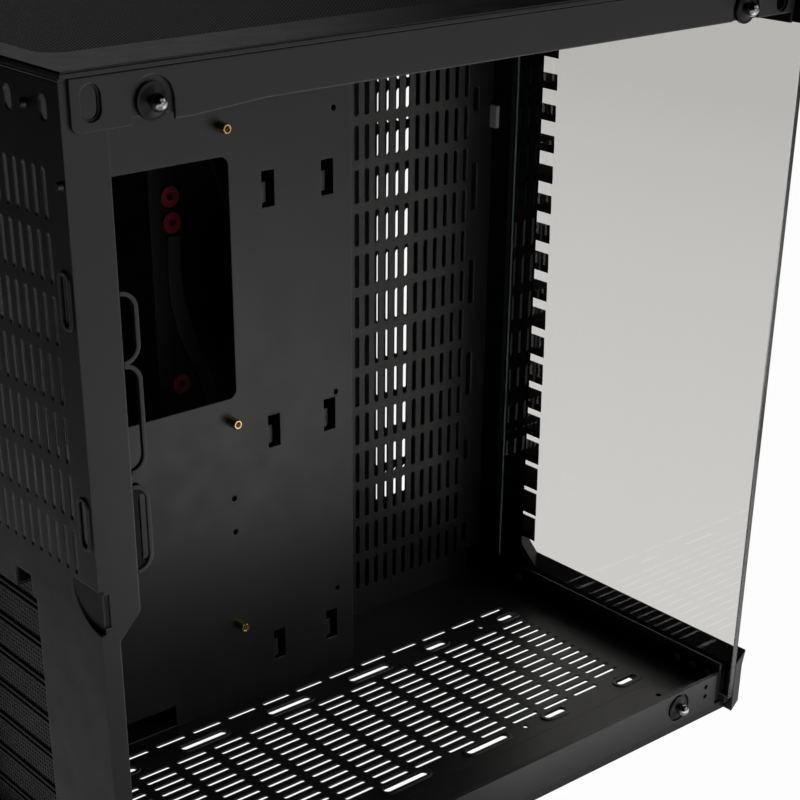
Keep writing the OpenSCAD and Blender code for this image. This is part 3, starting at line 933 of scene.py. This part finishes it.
@dataclass
class BoardTray(OpenedSheet):
    """The board tray with the lanced tongues of its tie anchors."""

    columns: tuple[float, ...] = (-2.3, 36.8)
    rows: tuple[float, ...] = (331.0, 196.6, 62.0)
    face: float = 42.0
    strip: tuple[Point, Point] = ((-1.85, -0.5, -9.49), (1.85, 4.0, 9.49))
    wider: tuple[tuple[Point, Point], ...] = (((-1.9, 1.22, -9.95), (1.9, 4.1, 9.95)),
                                              ((3.5, -0.6, -9.47), (4.6, 1.6, 9.47)))
    tongue: tuple[tuple[float, float], ...] = ((-4.4, 0.3), (-3.6, 0.3), (1.0, 1.5), (1.0, 2.5), (-4.4, 1.0))
    tongue_span: tuple[float, float] = (-7.0, 3.6)
    flange: tuple[Point, Point] = ((52.6, 51.0, 33.7), (53.8, 83.0, 436.2))

    def anchor_block(self, form: bmesh.types.BMesh, place: Point, ends: tuple[Point, Point]) -> None:
        """Adds a box whose corners are given from an anchor's middle.

        Args:
            form: The bmesh that takes it.
            place: The anchor's middle, in millimetres.
            ends: Least and greatest corner from there.
        """
        low, high = (tuple(p + c for p, c in zip(place, end)) for end in ends)
        self.block(form, low, high)

    def build(self, frame: dict) -> bpy.types.Object:
        """Clears each anchor's opening, widens it and bends the tongue in.

        Args:
            frame: The loaded frame.

        Returns:
            The piece that stands for the board tray.
        """
        clear, widen, tongues = bmesh.new(), bmesh.new(), bmesh.new()
        for x in self.columns:
            for z in self.rows:
                place = (x, self.face, z)
                self.anchor_block(clear, place, self.strip)
                for ends in self.wider:
                    self.anchor_block(widen, place, ends)
                outline = [(x + a, self.face + b) for a, b in self.tongue]
                self.prism(tongues, outline, z + self.tongue_span[0], z + self.tongue_span[1])
        self.block(tongues, *self.flange)
        return self.work(frame, tongues, [clear, widen])


@dataclass
class FanBracket(OpenedSheet):
    """The bracket in the rear corner, a pressed rim round the free side of each tab."""

    crossing: bool = True
    rim_steel: bpy.types.Material | None = None
    middle_x: float = -197.5
    tabs: tuple[tuple[float, float], ...] = ((340.5, 30.0), (302.5, 47.0), (254.5, 40.0))
    radius: float = 8.0
    rim: float = 1.8
    face: float = -126.3
    open_above: float = 280.0
    round_steps: int = 16
    rim_span: tuple[float, float] = (-0.9, 0.4)
    opening_span: tuple[float, float] = (-0.5, 2.0)
    rim_start: float = 0.05

    def build(self, frame: dict) -> bpy.types.Object:
        """Adds the rims and gives them the plain coat, brighter than the painted-shade coat of the rest of
        the bracket.

        Args:
            frame: The loaded frame.

        Returns:
            The piece that stands for the bracket.
        """
        added, opened = bmesh.new(), bmesh.new()
        for z, length in self.tabs:
            reach = length / 2 - self.radius
            half = self.round_steps // 2
            arc = [(math.pi * k / self.round_steps - math.pi / 2, reach if k > half else -reach)
                   for k in range(self.round_steps, -1, -1)]
            outer, inner = ([(self.middle_x + r * math.cos(a), z + side + r * math.sin(a)) for a, side in arc]
                            for r in (self.radius, self.radius - self.rim))
            start, end = (self.face + v for v in self.rim_span)
            self.prism(added, outer + inner[::-1], start, end, lying=True)
            if z > self.open_above:
                start, end = (self.face + v for v in self.opening_span)
                self.prism(opened, inner, start, end, lying=True)
        piece = self.work(frame, added, [opened])
        # The bracket wears the painted-shade coat; only the rims get the plain powder coat.
        piece.data.materials.append(self.rim_steel)
        for face in piece.data.polygons:
            face.material_index = 1 if face.center.y < (self.face - self.rim_start) * MM else 0
        return piece


@dataclass
class GlassFront:
    """The front pane with ground edges."""

    pane: bpy.types.Material
    edge: bpy.types.Material
    arris: bpy.types.Material
    chamfer: float = 0.5 * MM
    line: tuple[float, float] = (1.4 * MM, 3.4 * MM)

    @staticmethod
    def part(normal: Vector) -> PaneSlot:
        """Tells which part of the pane a face belongs to.

        Args:
            normal: The face's normal.

        Returns:
            The part's material slot.
        """
        if max(abs(v) for v in normal) <= 0.9:
            return PaneSlot.OUTER_ARRIS if normal.x > 0.3 else PaneSlot.NEAR
        if abs(normal.x) > 0.9:
            return PaneSlot.PANE
        return PaneSlot.NEAR if normal.y < -0.9 else PaneSlot.GROUND

    def build(self) -> bpy.types.Object:
        """Makes the pane with a chamfer all round and dresses faces and edges apart.

        Returns:
            The piece that stands for the front glass.
        """
        low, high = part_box("front_glass")
        form = bmesh.new()
        bmesh.ops.create_cube(form, size=1.0)
        size = Vector(high) - Vector(low)
        middle = (Vector(high) + Vector(low)) / 2
        bmesh.ops.scale(form, vec=size, verts=form.verts)
        bmesh.ops.translate(form, vec=middle, verts=form.verts)
        bmesh.ops.bevel(form, geom=form.edges[:], offset=self.chamfer, segments=1, affect="EDGES")
        bmesh.ops.recalc_face_normals(form, faces=form.faces)
        for face in form.faces:
            face.material_index = self.part(face.normal).value
        mesh = bpy.data.meshes.new("front_pane")
        form.to_mesh(mesh)
        form.free()
        near = NearEdge(*(low[0] + reach for reach in self.line)).build()
        for material in (self.pane, self.edge, self.arris, near):
            mesh.materials.append(material)
        piece = mesh_piece("front_pane", mesh)
        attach(piece, Body.CASE.value)
        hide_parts("front_glass")
        return piece


@dataclass(frozen=True)
class CoverPlan:
    """How the holes share out a cover: step of the covers, rows, columns and plain borders."""

    step: float
    rows: int
    columns: int
    margin: float
    side: float


@dataclass
class CardCovers:
    """Perforated card slot covers with a rolled ridge along each long side."""

    steel: bpy.types.Material
    pitch: float = 2.35 * MM
    hole_share: float = 0.62
    hole_sides: int = 8
    ridge: float = 1.9 * MM
    count: int = 8
    gap: float = 0.4 * MM
    sheet: float = 0.8 * MM
    rise: float = 0.0011
    ridge_steps: int = 8
    merge: float = 2e-6

    def plan(self, low: Vector, high: Vector) -> CoverPlan:
        """Shares out the holes between the covers' borders.

        Args:
            low: Lowest corner of the covers.
            high: Highest corner of the covers.

        Returns:
            The plan.
        """
        step = (high.z - low.z + self.gap) / self.count
        depth = step - self.gap - 2 * self.ridge
        rows, columns = int(depth / self.pitch), int((high.y - low.y) / self.pitch)
        return CoverPlan(step, rows, columns, (high.y - low.y - columns * self.pitch) / 2,
                         (step - self.gap - rows * self.pitch) / 2)

    def cell(self) -> bpy.types.Object:
        """One square cell of sheet round one hole, in the Y-Z plane.

        Returns:
            The cell as an unlinked object.
        """
        form = bmesh.new()
        half = self.pitch / 2
        outer, inner = [], []
        for k in range(self.hole_sides):
            angle = 2 * math.pi * (k + 0.5) / self.hole_sides
            c, s = math.cos(angle), math.sin(angle)
            reach = half / max(abs(c), abs(s))
            outer.append(form.verts.new((0.0, round(c * reach, 9), round(s * reach, 9))))
            r = half * self.hole_share
            inner.append(form.verts.new((0.0, c * r, s * r)))
        corners = [form.verts.new((0.0, a * half, b * half)) for a, b in ((1, 1), (-1, 1), (-1, -1), (1, -1))]
        n = self.hole_sides
        for k in range(n):
            after = (k + 1) % n
            form.faces.new((inner[k], inner[after], outer[after], outer[k]))
        for k, corner in enumerate(corners):
            first = (n // 4) * k
            form.faces.new((outer[first], outer[(first + 1) % n], corner))
        for face in form.faces:
            face.smooth = False
        bmesh.ops.recalc_face_normals(form, faces=form.faces)
        return bare_object("cover_cell", form)

    def fields(self, low: Vector, high: Vector, plan: CoverPlan) -> bpy.types.Mesh:
        """The front faces of all covers' perforated fields.

        Args:
            low: Lowest corner of the covers.
            high: Highest corner of the covers.
            plan: How the holes are shared out.

        Returns:
            One mesh of all the fields.
        """
        tree = GeometryTree("cover_fields")
        cell = tree.size("Cell", self.cell(), "NodeSocketObject")
        across = tree.size("Columns", plan.columns, "NodeSocketInt")
        tall = tree.size("Rows", plan.rows, "NodeSocketInt")
        pitch = tree.size("Pitch", self.pitch)
        covers = tree.size("Covers", self.count, "NodeSocketInt")
        spacing = tree.size("Cover Step", plan.step)
        grid = tree.add("GeometryNodeMeshGrid")
        tree.join(tree.math("MULTIPLY", pitch, tree.math("SUBTRACT", across, 1.0)), grid.inputs["Size X"])
        tree.join(tree.math("MULTIPLY", pitch, tree.math("SUBTRACT", tall, 1.0)), grid.inputs["Size Y"])
        tree.join(across, grid.inputs["Vertices X"])
        tree.join(tall, grid.inputs["Vertices Y"])
        stand = tree.add("GeometryNodeTransform")
        stand.inputs["Rotation"].default_value = (math.radians(90), 0.0, math.radians(90))
        tree.join(grid.outputs["Mesh"], stand.inputs["Geometry"])
        info = tree.add("GeometryNodeObjectInfo")
        tree.join(cell, info.inputs["Object"])
        holes = tree.add("GeometryNodeInstanceOnPoints")
        tree.join(stand.outputs["Geometry"], holes.inputs["Points"])
        tree.join(info.outputs["Geometry"], holes.inputs["Instance"])
        line = tree.add("GeometryNodeMeshLine", mode="OFFSET")
        offset = tree.add("ShaderNodeCombineXYZ")
        tree.join(spacing, offset.inputs["Z"])
        tree.join(covers, line.inputs["Count"])
        line.inputs["Start Location"].default_value = (
            low.x + self.rise, (low.y + high.y) / 2, low.z + (plan.step - self.gap) / 2)
        tree.join(offset.outputs["Vector"], line.inputs["Offset"])
        stack = tree.add("GeometryNodeInstanceOnPoints")
        tree.join(line.outputs["Mesh"], stack.inputs["Points"])
        tree.join(holes.outputs["Instances"], stack.inputs["Instance"])
        return tree.finish(stack.outputs["Instances"], self.steel, "cover_fields")

    def build(self) -> bpy.types.Object:
        """Makes the covers and lets them stand for the model's plain ones.

        Returns:
            The piece that stands for the slot covers.
        """
        low, high = (Vector(v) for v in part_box("slot_covers"))
        plan = self.plan(low, high)
        form = bmesh.new()
        form.from_mesh(self.fields(low, high, plan))
        bmesh.ops.remove_doubles(form, verts=form.verts, dist=self.merge)
        self.thicken(form)
        for k in range(self.count):
            self.ridges(form, low, high, low.z + k * plan.step, plan)
        mesh = bpy.data.meshes.new("card_covers")
        form.to_mesh(mesh)
        form.free()
        piece = mesh_piece("card_covers", mesh, self.steel)
        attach(piece, Body.CASE.value)
        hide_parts("slot_covers")
        return piece

    def thicken(self, form: bmesh.types.BMesh) -> None:
        """Closes the flat fields with a back and rims, in an order that is the same each run.

        Args:
            form: The bmesh of the front faces.
        """
        front, rims = form.faces[:], [edge for edge in form.edges if edge.is_boundary]
        depth = Vector((self.sheet, 0.0, 0.0))
        back = {vert: form.verts.new(vert.co + depth) for vert in form.verts[:]}
        for face in front:
            form.faces.new([back[vert] for vert in reversed(face.verts)])
        for edge in rims:
            first, second = edge.verts
            form.faces.new((first, second, back[second], back[first]))
        bmesh.ops.recalc_face_normals(form, faces=form.faces)

    def ridges(self, form: bmesh.types.BMesh, low: Vector, high: Vector, base: float,
               plan: CoverPlan) -> None:
        """Adds the rolled ridges and end strips of one cover.

        Args:
            form: The bmesh to add to.
            low: Lowest corner of all covers.
            high: Highest corner of all covers.
            base: The cover's lower edge.
            plan: How the holes are shared out.
        """
        sheet, top = low.x + self.rise, base + plan.step - self.gap
        for start, end in ((base, base + plan.side), (top - plan.side, top)):
            radius = (end - start) / 2
            turns = [math.pi * k / self.ridge_steps for k in range(self.ridge_steps + 1)]
            arc = [(sheet - self.rise * math.sin(turn), (start + end) / 2 - radius * math.cos(turn))
                   for turn in turns]
            outline = arc + [(high.x, end), (high.x, start)]
            self.bar(form, outline, low.y, high.y)
        for start, end in ((low.y, low.y + plan.margin), (high.y - plan.margin, high.y)):
            outline = [(sheet, base + plan.side), (sheet, top - plan.side),
                       (high.x, top - plan.side), (high.x, base + plan.side)]
            self.bar(form, outline, start, end)

    @staticmethod
    def bar(form: bmesh.types.BMesh, outline: list[tuple[float, float]], start: float, end: float) -> None:
        """Adds a closed bar along Y.

        Args:
            form: The bmesh to add to.
            outline: Its corners in X and Z.
            start: Where it starts along Y.
            end: Where it ends.
        """
        first = [form.verts.new((x, start, z)) for x, z in outline]
        last = [form.verts.new((x, end, z)) for x, z in outline]
        faces = [form.faces.new(first), form.faces.new(last[::-1])]
        for k in range(len(outline)):
            after = (k + 1) % len(outline)
            faces.append(form.faces.new((first[k], last[k], last[after], first[after])))
        bmesh.ops.recalc_face_normals(form, faces=faces)


@dataclass
class StandoffSet:
    """Turned brass standoffs with a chamfered mouth and a threaded bore."""

    brass: bpy.types.Material
    across: float = 5.6 * MM
    height: float = 6.5 * MM
    bore: float = 1.25 * MM
    thread: float = 0.5 * MM
    turns: int = 9
    steps: int = 24
    chamfer: float = 0.35 * MM
    mouth: float = 0.82
    lip: float = 1.35
    crest: float = 1.14
    thread_start: float = 0.3 * MM

    def form(self) -> bpy.types.Object:
        """One standoff along +Z: hexagon with a chamfered top and a ridged bore.

        Returns:
            The standoff as an unlinked object.
        """
        form = bmesh.new()
        corners = [(math.cos(math.pi * k / 3) * self.across / 2, math.sin(math.pi * k / 3) * self.across / 2)
                   for k in range(6)]
        outer = self.hexagon_ring(form, corners, 0.0)
        upper = self.hexagon_ring(form, corners, self.height - self.chamfer)
        mouth = self.round_ring(form, self.height, self.across / 2 * self.mouth)
        lip = self.round_ring(form, self.height, self.bore * self.lip)
        rings = [outer, upper, mouth, lip]
        for k in range(2 * self.turns):
            radius = self.bore * (1.0 if k % 2 == 0 else self.crest)
            level = self.height - self.thread_start - k * self.thread / 2
            rings.append(self.round_ring(form, level, radius))
        for first, second in zip(rings, rings[1:]):
            for k in range(self.steps):
                after = (k + 1) % self.steps
                form.faces.new((first[k], first[after], second[after], second[k]))
        form.faces.new(rings[-1])
        form.faces.new(outer[::-1])
        bmesh.ops.recalc_face_normals(form, faces=form.faces)
        return bare_object("standoff_form", form)

    def hexagon_ring(self, form: bmesh.types.BMesh, corners: list[tuple[float, float]],
                     height: float) -> list[bmesh.types.BMVert]:
        """A ring of vertices along a hexagon at a height.

        Args:
            form: The bmesh that takes them.
            corners: The hexagon's corners.
            height: The ring's height.

        Returns:
            The ring's vertices.
        """
        ring = []
        per_side = self.steps // 6
        for side in range(6):
            (ax, ay), (bx, by) = corners[side], corners[(side + 1) % 6]
            for k in range(per_side):
                s = k / per_side
                ring.append(form.verts.new((ax + (bx - ax) * s, ay + (by - ay) * s, height)))
        return ring

    def round_ring(self, form: bmesh.types.BMesh, height: float, radius: float) -> list[bmesh.types.BMVert]:
        """A round ring of vertices at a height.

        Args:
            form: The bmesh that takes them.
            height: The ring's height.
            radius: Its radius.

        Returns:
            The ring's vertices.
        """
        turns = [2 * math.pi * k / self.steps for k in range(self.steps)]
        return [form.verts.new((radius * math.cos(turn), radius * math.sin(turn), height)) for turn in turns]

    def build(self, frame: dict) -> bpy.types.Object:
        """Stands one on each hole that the model's standoffs mark.

        Args:
            frame: The loaded frame.

        Returns:
            The piece that stands for the standoffs.
        """
        node = frame["nodes"]["standoffs"]
        low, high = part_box("standoffs")
        seats = sorted({(round(v.co.x, 3), round(v.co.z, 3)) for v in node.data.vertices
                        if abs(v.co.y - low[1]) < 1e-5})
        centres: list[list[tuple[float, float]]] = []
        for seat in seats:
            near = [c for c in centres if math.dist(c[0], seat) < self.across * 1.5]
            if near:
                near[0].append(seat)
            else:
                centres.append([seat])
        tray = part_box("board_tray")[0][1]
        tree = GeometryTree("standoff_set")
        body = tree.size("Standoff", self.form(), "NodeSocketObject")
        info = tree.add("GeometryNodeObjectInfo")
        tree.join(body, info.inputs["Object"])
        points = tree.add("GeometryNodeJoinGeometry")
        for group in centres:
            x = (min(c[0] for c in group) + max(c[0] for c in group)) / 2
            z = (min(c[1] for c in group) + max(c[1] for c in group)) / 2
            spot = tree.add("GeometryNodeMeshLine", mode="OFFSET")
            spot.inputs["Count"].default_value = 1
            spot.inputs["Start Location"].default_value = (x, tray, z)
            tree.join(spot.outputs["Mesh"], points.inputs["Geometry"])
        stand = tree.add("GeometryNodeInstanceOnPoints")
        stand.inputs["Rotation"].default_value = (math.radians(90), 0.0, 0.0)
        tree.join(points.outputs["Geometry"], stand.inputs["Points"])
        tree.join(info.outputs["Geometry"], stand.inputs["Instance"])
        mesh = tree.finish(stand.outputs["Instances"], self.brass, "brass_standoffs")
        piece = mesh_piece("brass_standoffs", mesh)
        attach(piece, Body.CASE.value)
        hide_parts("standoffs")
        return piece


@dataclass(frozen=True)
class Lamp:
    """A square soft light: its place, what it points at, its side and its power in watts."""

    name: str
    place: Point
    target: Point
    size: float
    power: float


@dataclass
class Studio:
    """Pale floor, soft lights and the camera of the photograph."""

    eye: Point = (-0.54016, -0.69350, 0.56084)
    right: Point = (0.77118, -0.636616, 0.001231)
    down: Point = (-0.298676, -0.363515, -0.882411)
    ahead: Point = (0.562204, 0.680131, -0.470477)
    focal_px: float = 1755.48
    centre_px: tuple[float, float] = (370.84, 622.76)
    frame_px: float = 800.0
    sensor: float = 36.0
    clip: tuple[float, float] = (0.05, 50.0)
    paper: Colour = (0.86, 0.86, 0.86)
    floor_half: float = 12.0
    floor_seen: float = 0.98
    # Painted shade: the floor seen through the glass dims along X down to this strength, over far_fade.
    far_painted_shade: float = 0.76
    far_fade: tuple[float, float] = (0.3, 1.7)
    floor_mirrored: float = 0.3
    card_mirrored: float = 0.2
    # Painted shade: in gloss the floor dims to this share towards the rear, over rear_fade.
    rear_mirrored: float = 0.05
    rear_fade: tuple[float, float] = (-0.57, -0.45)
    card: tuple[Point, Point] = ((-0.16, 0.32, 0.0), (0.06, 0.32, 0.178))
    lamps: tuple[Lamp, ...] = (
        Lamp("centre", (0.3, -2.2, 1.7), (0.0, 0.0, 0.2), 1.2, 1.98),
        Lamp("right", (1.6, -1.5, 1.2), (0.0, 0.0, 0.2), 1.2, 4.08),
        Lamp("low", (0.5, -1.9, 0.15), (0.0, 0.0, 0.2), 1.0, 2.46),
        Lamp("board_near", (0.3, -0.42, 0.004), (0.3, -0.42, 2.0), 0.5, 0.95),
        Lamp("board_right", (0.95, -0.7, 0.006), (0.95, -0.7, 2.0), 0.6, 0.98),
        Lamp("board_left", (-0.6, -1.2, 0.01), (-0.6, -1.2, 2.0), 1.0, 1.66),
        Lamp("board_corner", (-0.6, -0.46, 0.008), (-0.6, -0.46, 2.0), 0.3, 0.25),
        Lamp("back", (0.8, 1.8, 1.6), (0.0, 0.0, 0.3), 1.2, 1.8),
    )

    def camera(self) -> None:
        """Sets the camera where the photograph was taken from."""
        data = bpy.data.cameras.new("view")
        data.sensor_width = self.sensor
        data.lens = self.focal_px * self.sensor / self.frame_px
        data.shift_x = (self.frame_px / 2 - self.centre_px[0]) / self.frame_px
        data.shift_y = (self.centre_px[1] - self.frame_px / 2) / self.frame_px
        data.clip_start, data.clip_end = self.clip
        eye = bpy.data.objects.new("view", data)
        bpy.context.scene.collection.objects.link(eye)
        x, y, z = Vector(self.right), -Vector(self.down), -Vector(self.ahead)
        turn = Matrix((x, y, z)).transposed().to_4x4()
        eye.matrix_world = Matrix.Translation(self.eye) @ turn
        bpy.context.scene.camera = eye

    def stage(self, name: str, form: bmesh.types.BMesh, seen: float, mirrored: float) -> bpy.types.Object:
        """Adds a pale stage surface, white to the camera, with painted shade where it is seen through the far
        glass and in gloss.

        Args:
            name: The surface's name.
            form: Its bmesh, freed here.
            seen: Share of plain white in what the camera sees, the rest is lit.
            mirrored: Share of plain white in what gloss sees.

        Returns:
            The stage object.
        """
        mesh = bpy.data.meshes.new(name)
        form.to_mesh(mesh)
        form.free()
        tree = ShaderTree(name)
        tree.value(Base_Color=(*self.paper, 1.0), Roughness=0.9, Specular_IOR_Level=0.1)
        glow = tree.add("ShaderNodeEmission")
        ray = tree.add("ShaderNodeLightPath")
        # Painted shade: seen through the glass, the floor glows less the further it lies along X.
        fall = tree.span(tree.axis("X"), 0.0, self.far_painted_shade - 1.0, *self.far_fade)
        through = tree.math("MULTIPLY", ray.outputs["Is Transmission Ray"], fall)
        tree.join(tree.math("ADD", through, 1.0), glow.inputs["Strength"])
        plain = tree.math("MAXIMUM", ray.outputs["Is Camera Ray"], ray.outputs["Is Transmission Ray"])
        # Painted shade: the floor's glow in gloss fades towards the rear.
        near = tree.span(tree.axis("X"), self.rear_mirrored * mirrored, mirrored, *self.rear_fade)
        share = tree.math("MAXIMUM", tree.math("MULTIPLY", plain, seen),
                          tree.math("MULTIPLY", ray.outputs["Is Glossy Ray"], near))
        tree.pick(share, glow.outputs["Emission"])
        piece = mesh_piece(name, mesh, tree.material)
        return piece

    def floor(self) -> None:
        """A wide pale floor that shows as white but keeps a faint shadow."""
        form = bmesh.new()
        bmesh.ops.create_grid(form, x_segments=1, y_segments=1, size=self.floor_half)
        self.stage("studio_floor", form, self.floor_seen, self.floor_mirrored)

    def backdrop(self) -> None:
        """A white card behind the closed side, as wide as the case needs."""
        form = bmesh.new()
        low, high = self.card
        corners = [(low[0], low[1], low[2]), (high[0], low[1], low[2]), (high[0], low[1], high[2]),
                   (low[0], low[1], high[2])]
        form.faces.new([form.verts.new(corner) for corner in corners])
        card = self.stage("studio_card", form, 1.0, self.card_mirrored)
        card.visible_camera = False
        card.visible_transmission = False
        card.visible_shadow = False

    def world(self) -> None:
        """White to the camera and through glass; it gives no light and shows in no gloss."""
        world = bpy.data.worlds.new("studio")
        bpy.context.scene.world = world
        world.use_nodes = True
        tree = world.node_tree
        tree.nodes.clear()
        out, white = tree.nodes.new("ShaderNodeOutputWorld"), tree.nodes.new("ShaderNodeBackground")
        ray, plain = tree.nodes.new("ShaderNodeLightPath"), tree.nodes.new("ShaderNodeMath")
        white.inputs["Color"].default_value = (1.0, 1.0, 1.0, 1.0)
        plain.operation = "MAXIMUM"
        tree.links.new(ray.outputs["Is Camera Ray"], plain.inputs[0])
        tree.links.new(ray.outputs["Is Transmission Ray"], plain.inputs[1])
        tree.links.new(plain.outputs["Value"], white.inputs["Strength"])
        tree.links.new(white.outputs["Background"], out.inputs["Surface"])

    def lamp(self, lamp: Lamp) -> None:
        """Hangs one soft light, unseen by the camera.

        Args:
            lamp: The light's place, size and power.
        """
        data = bpy.data.lights.new(lamp.name, "AREA")
        data.size, data.energy = lamp.size, lamp.power
        light = bpy.data.objects.new(lamp.name, data)
        bpy.context.scene.collection.objects.link(light)
        light.visible_camera = False
        light.visible_transmission = False
        way = Vector(lamp.target) - Vector(lamp.place)
        turn = way.to_track_quat("-Z", "Y").to_matrix().to_4x4()
        light.matrix_world = Matrix.Translation(lamp.place) @ turn

    def build(self) -> None:
        """Sets the camera, floor, card, world and lamps."""
        self.camera()
        self.floor()
        self.backdrop()
        self.world()
        for lamp in self.lamps:
            self.lamp(lamp)
        bpy.context.scene.view_settings.view_transform = "Standard"


def main() -> None:
    """Builds the finishes, the fine pieces and the studio."""
    logging.basicConfig(level=logging.INFO, format="%(name)s: %(message)s")
    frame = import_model()
    Studio().build()
    steel = PaintedSteel().build()
    plastic = MouldedPlastic().build()
    rubber = Rubber("rubber_black", (0.010, 0.010, 0.010), (0.016, 0.016, 0.016)).build()
    red = Rubber("rubber_red", (0.28, 0.010, 0.018), (0.36, 0.016, 0.026), 0.5).build()
    zinc = Metal("zinc", (0.35, 0.35, 0.36), (0.26, 0.26, 0.27), 0.35).build()
    dull = Metal("zinc_dull", (0.12, 0.12, 0.125), (0.08, 0.08, 0.085), 0.4).build()
    brass = Metal("brass", (0.78, 0.58, 0.28), (0.62, 0.44, 0.18), 0.22).build()
    SheetShell(steel).dress(frame)
    FloorPan("floor_pan", steel).build(frame)
    BoardTray("board_tray", steel).build(frame)
    # Painted shade: a darker, duller copy of the powder coat for the front plate, the drive plate and the fan
    # bracket, which lie in shade; its edges get a fainter painted highlight.
    shade = PaintedSteel("steel_painted_shade", (0.0045, 0.0043, 0.0045), (0.0060, 0.0058, 0.0060), 0.55,
                         sheen=0.2, edge_highlight=(0.012, 0.012, 0.012)).build()
    for name in ("front_plate", "drive_plate"):
        assign(frame, name, shade)
    FanBracket("fan_bracket", shade, rim_steel=steel).build(frame)
    for name in ("front_cover", "top_cover", "base_frame", "power_button", "io_block", "feet"):
        assign(frame, name, plastic)
    for name in ("glass_seal", "foot_pads"):
        assign(frame, name, rubber)
    assign(frame, "grommets", red)
    assign(frame, "sill_rivets", zinc)
    assign(frame, "rear_rivets", dull)
    assign(frame, "top_mesh", FilterSheet().build())
    assign(frame, "wall_pad", Foam().build())
    assign(frame, "chamber_cables", BraidedSleeve().build())
    stud_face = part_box("ball_studs")[0][1]
    assign(frame, "ball_studs", StudMetal(stud_face + STUD_DISC).build())
    GlassFront(ClearGlass().build(), GlassEdge().build(), GlassArris().build()).build()
    CardCovers(steel).build()
    StandoffSet(brass).build(frame)
    log.info("pieces are made")


if __name__ == "__main__":
    main()
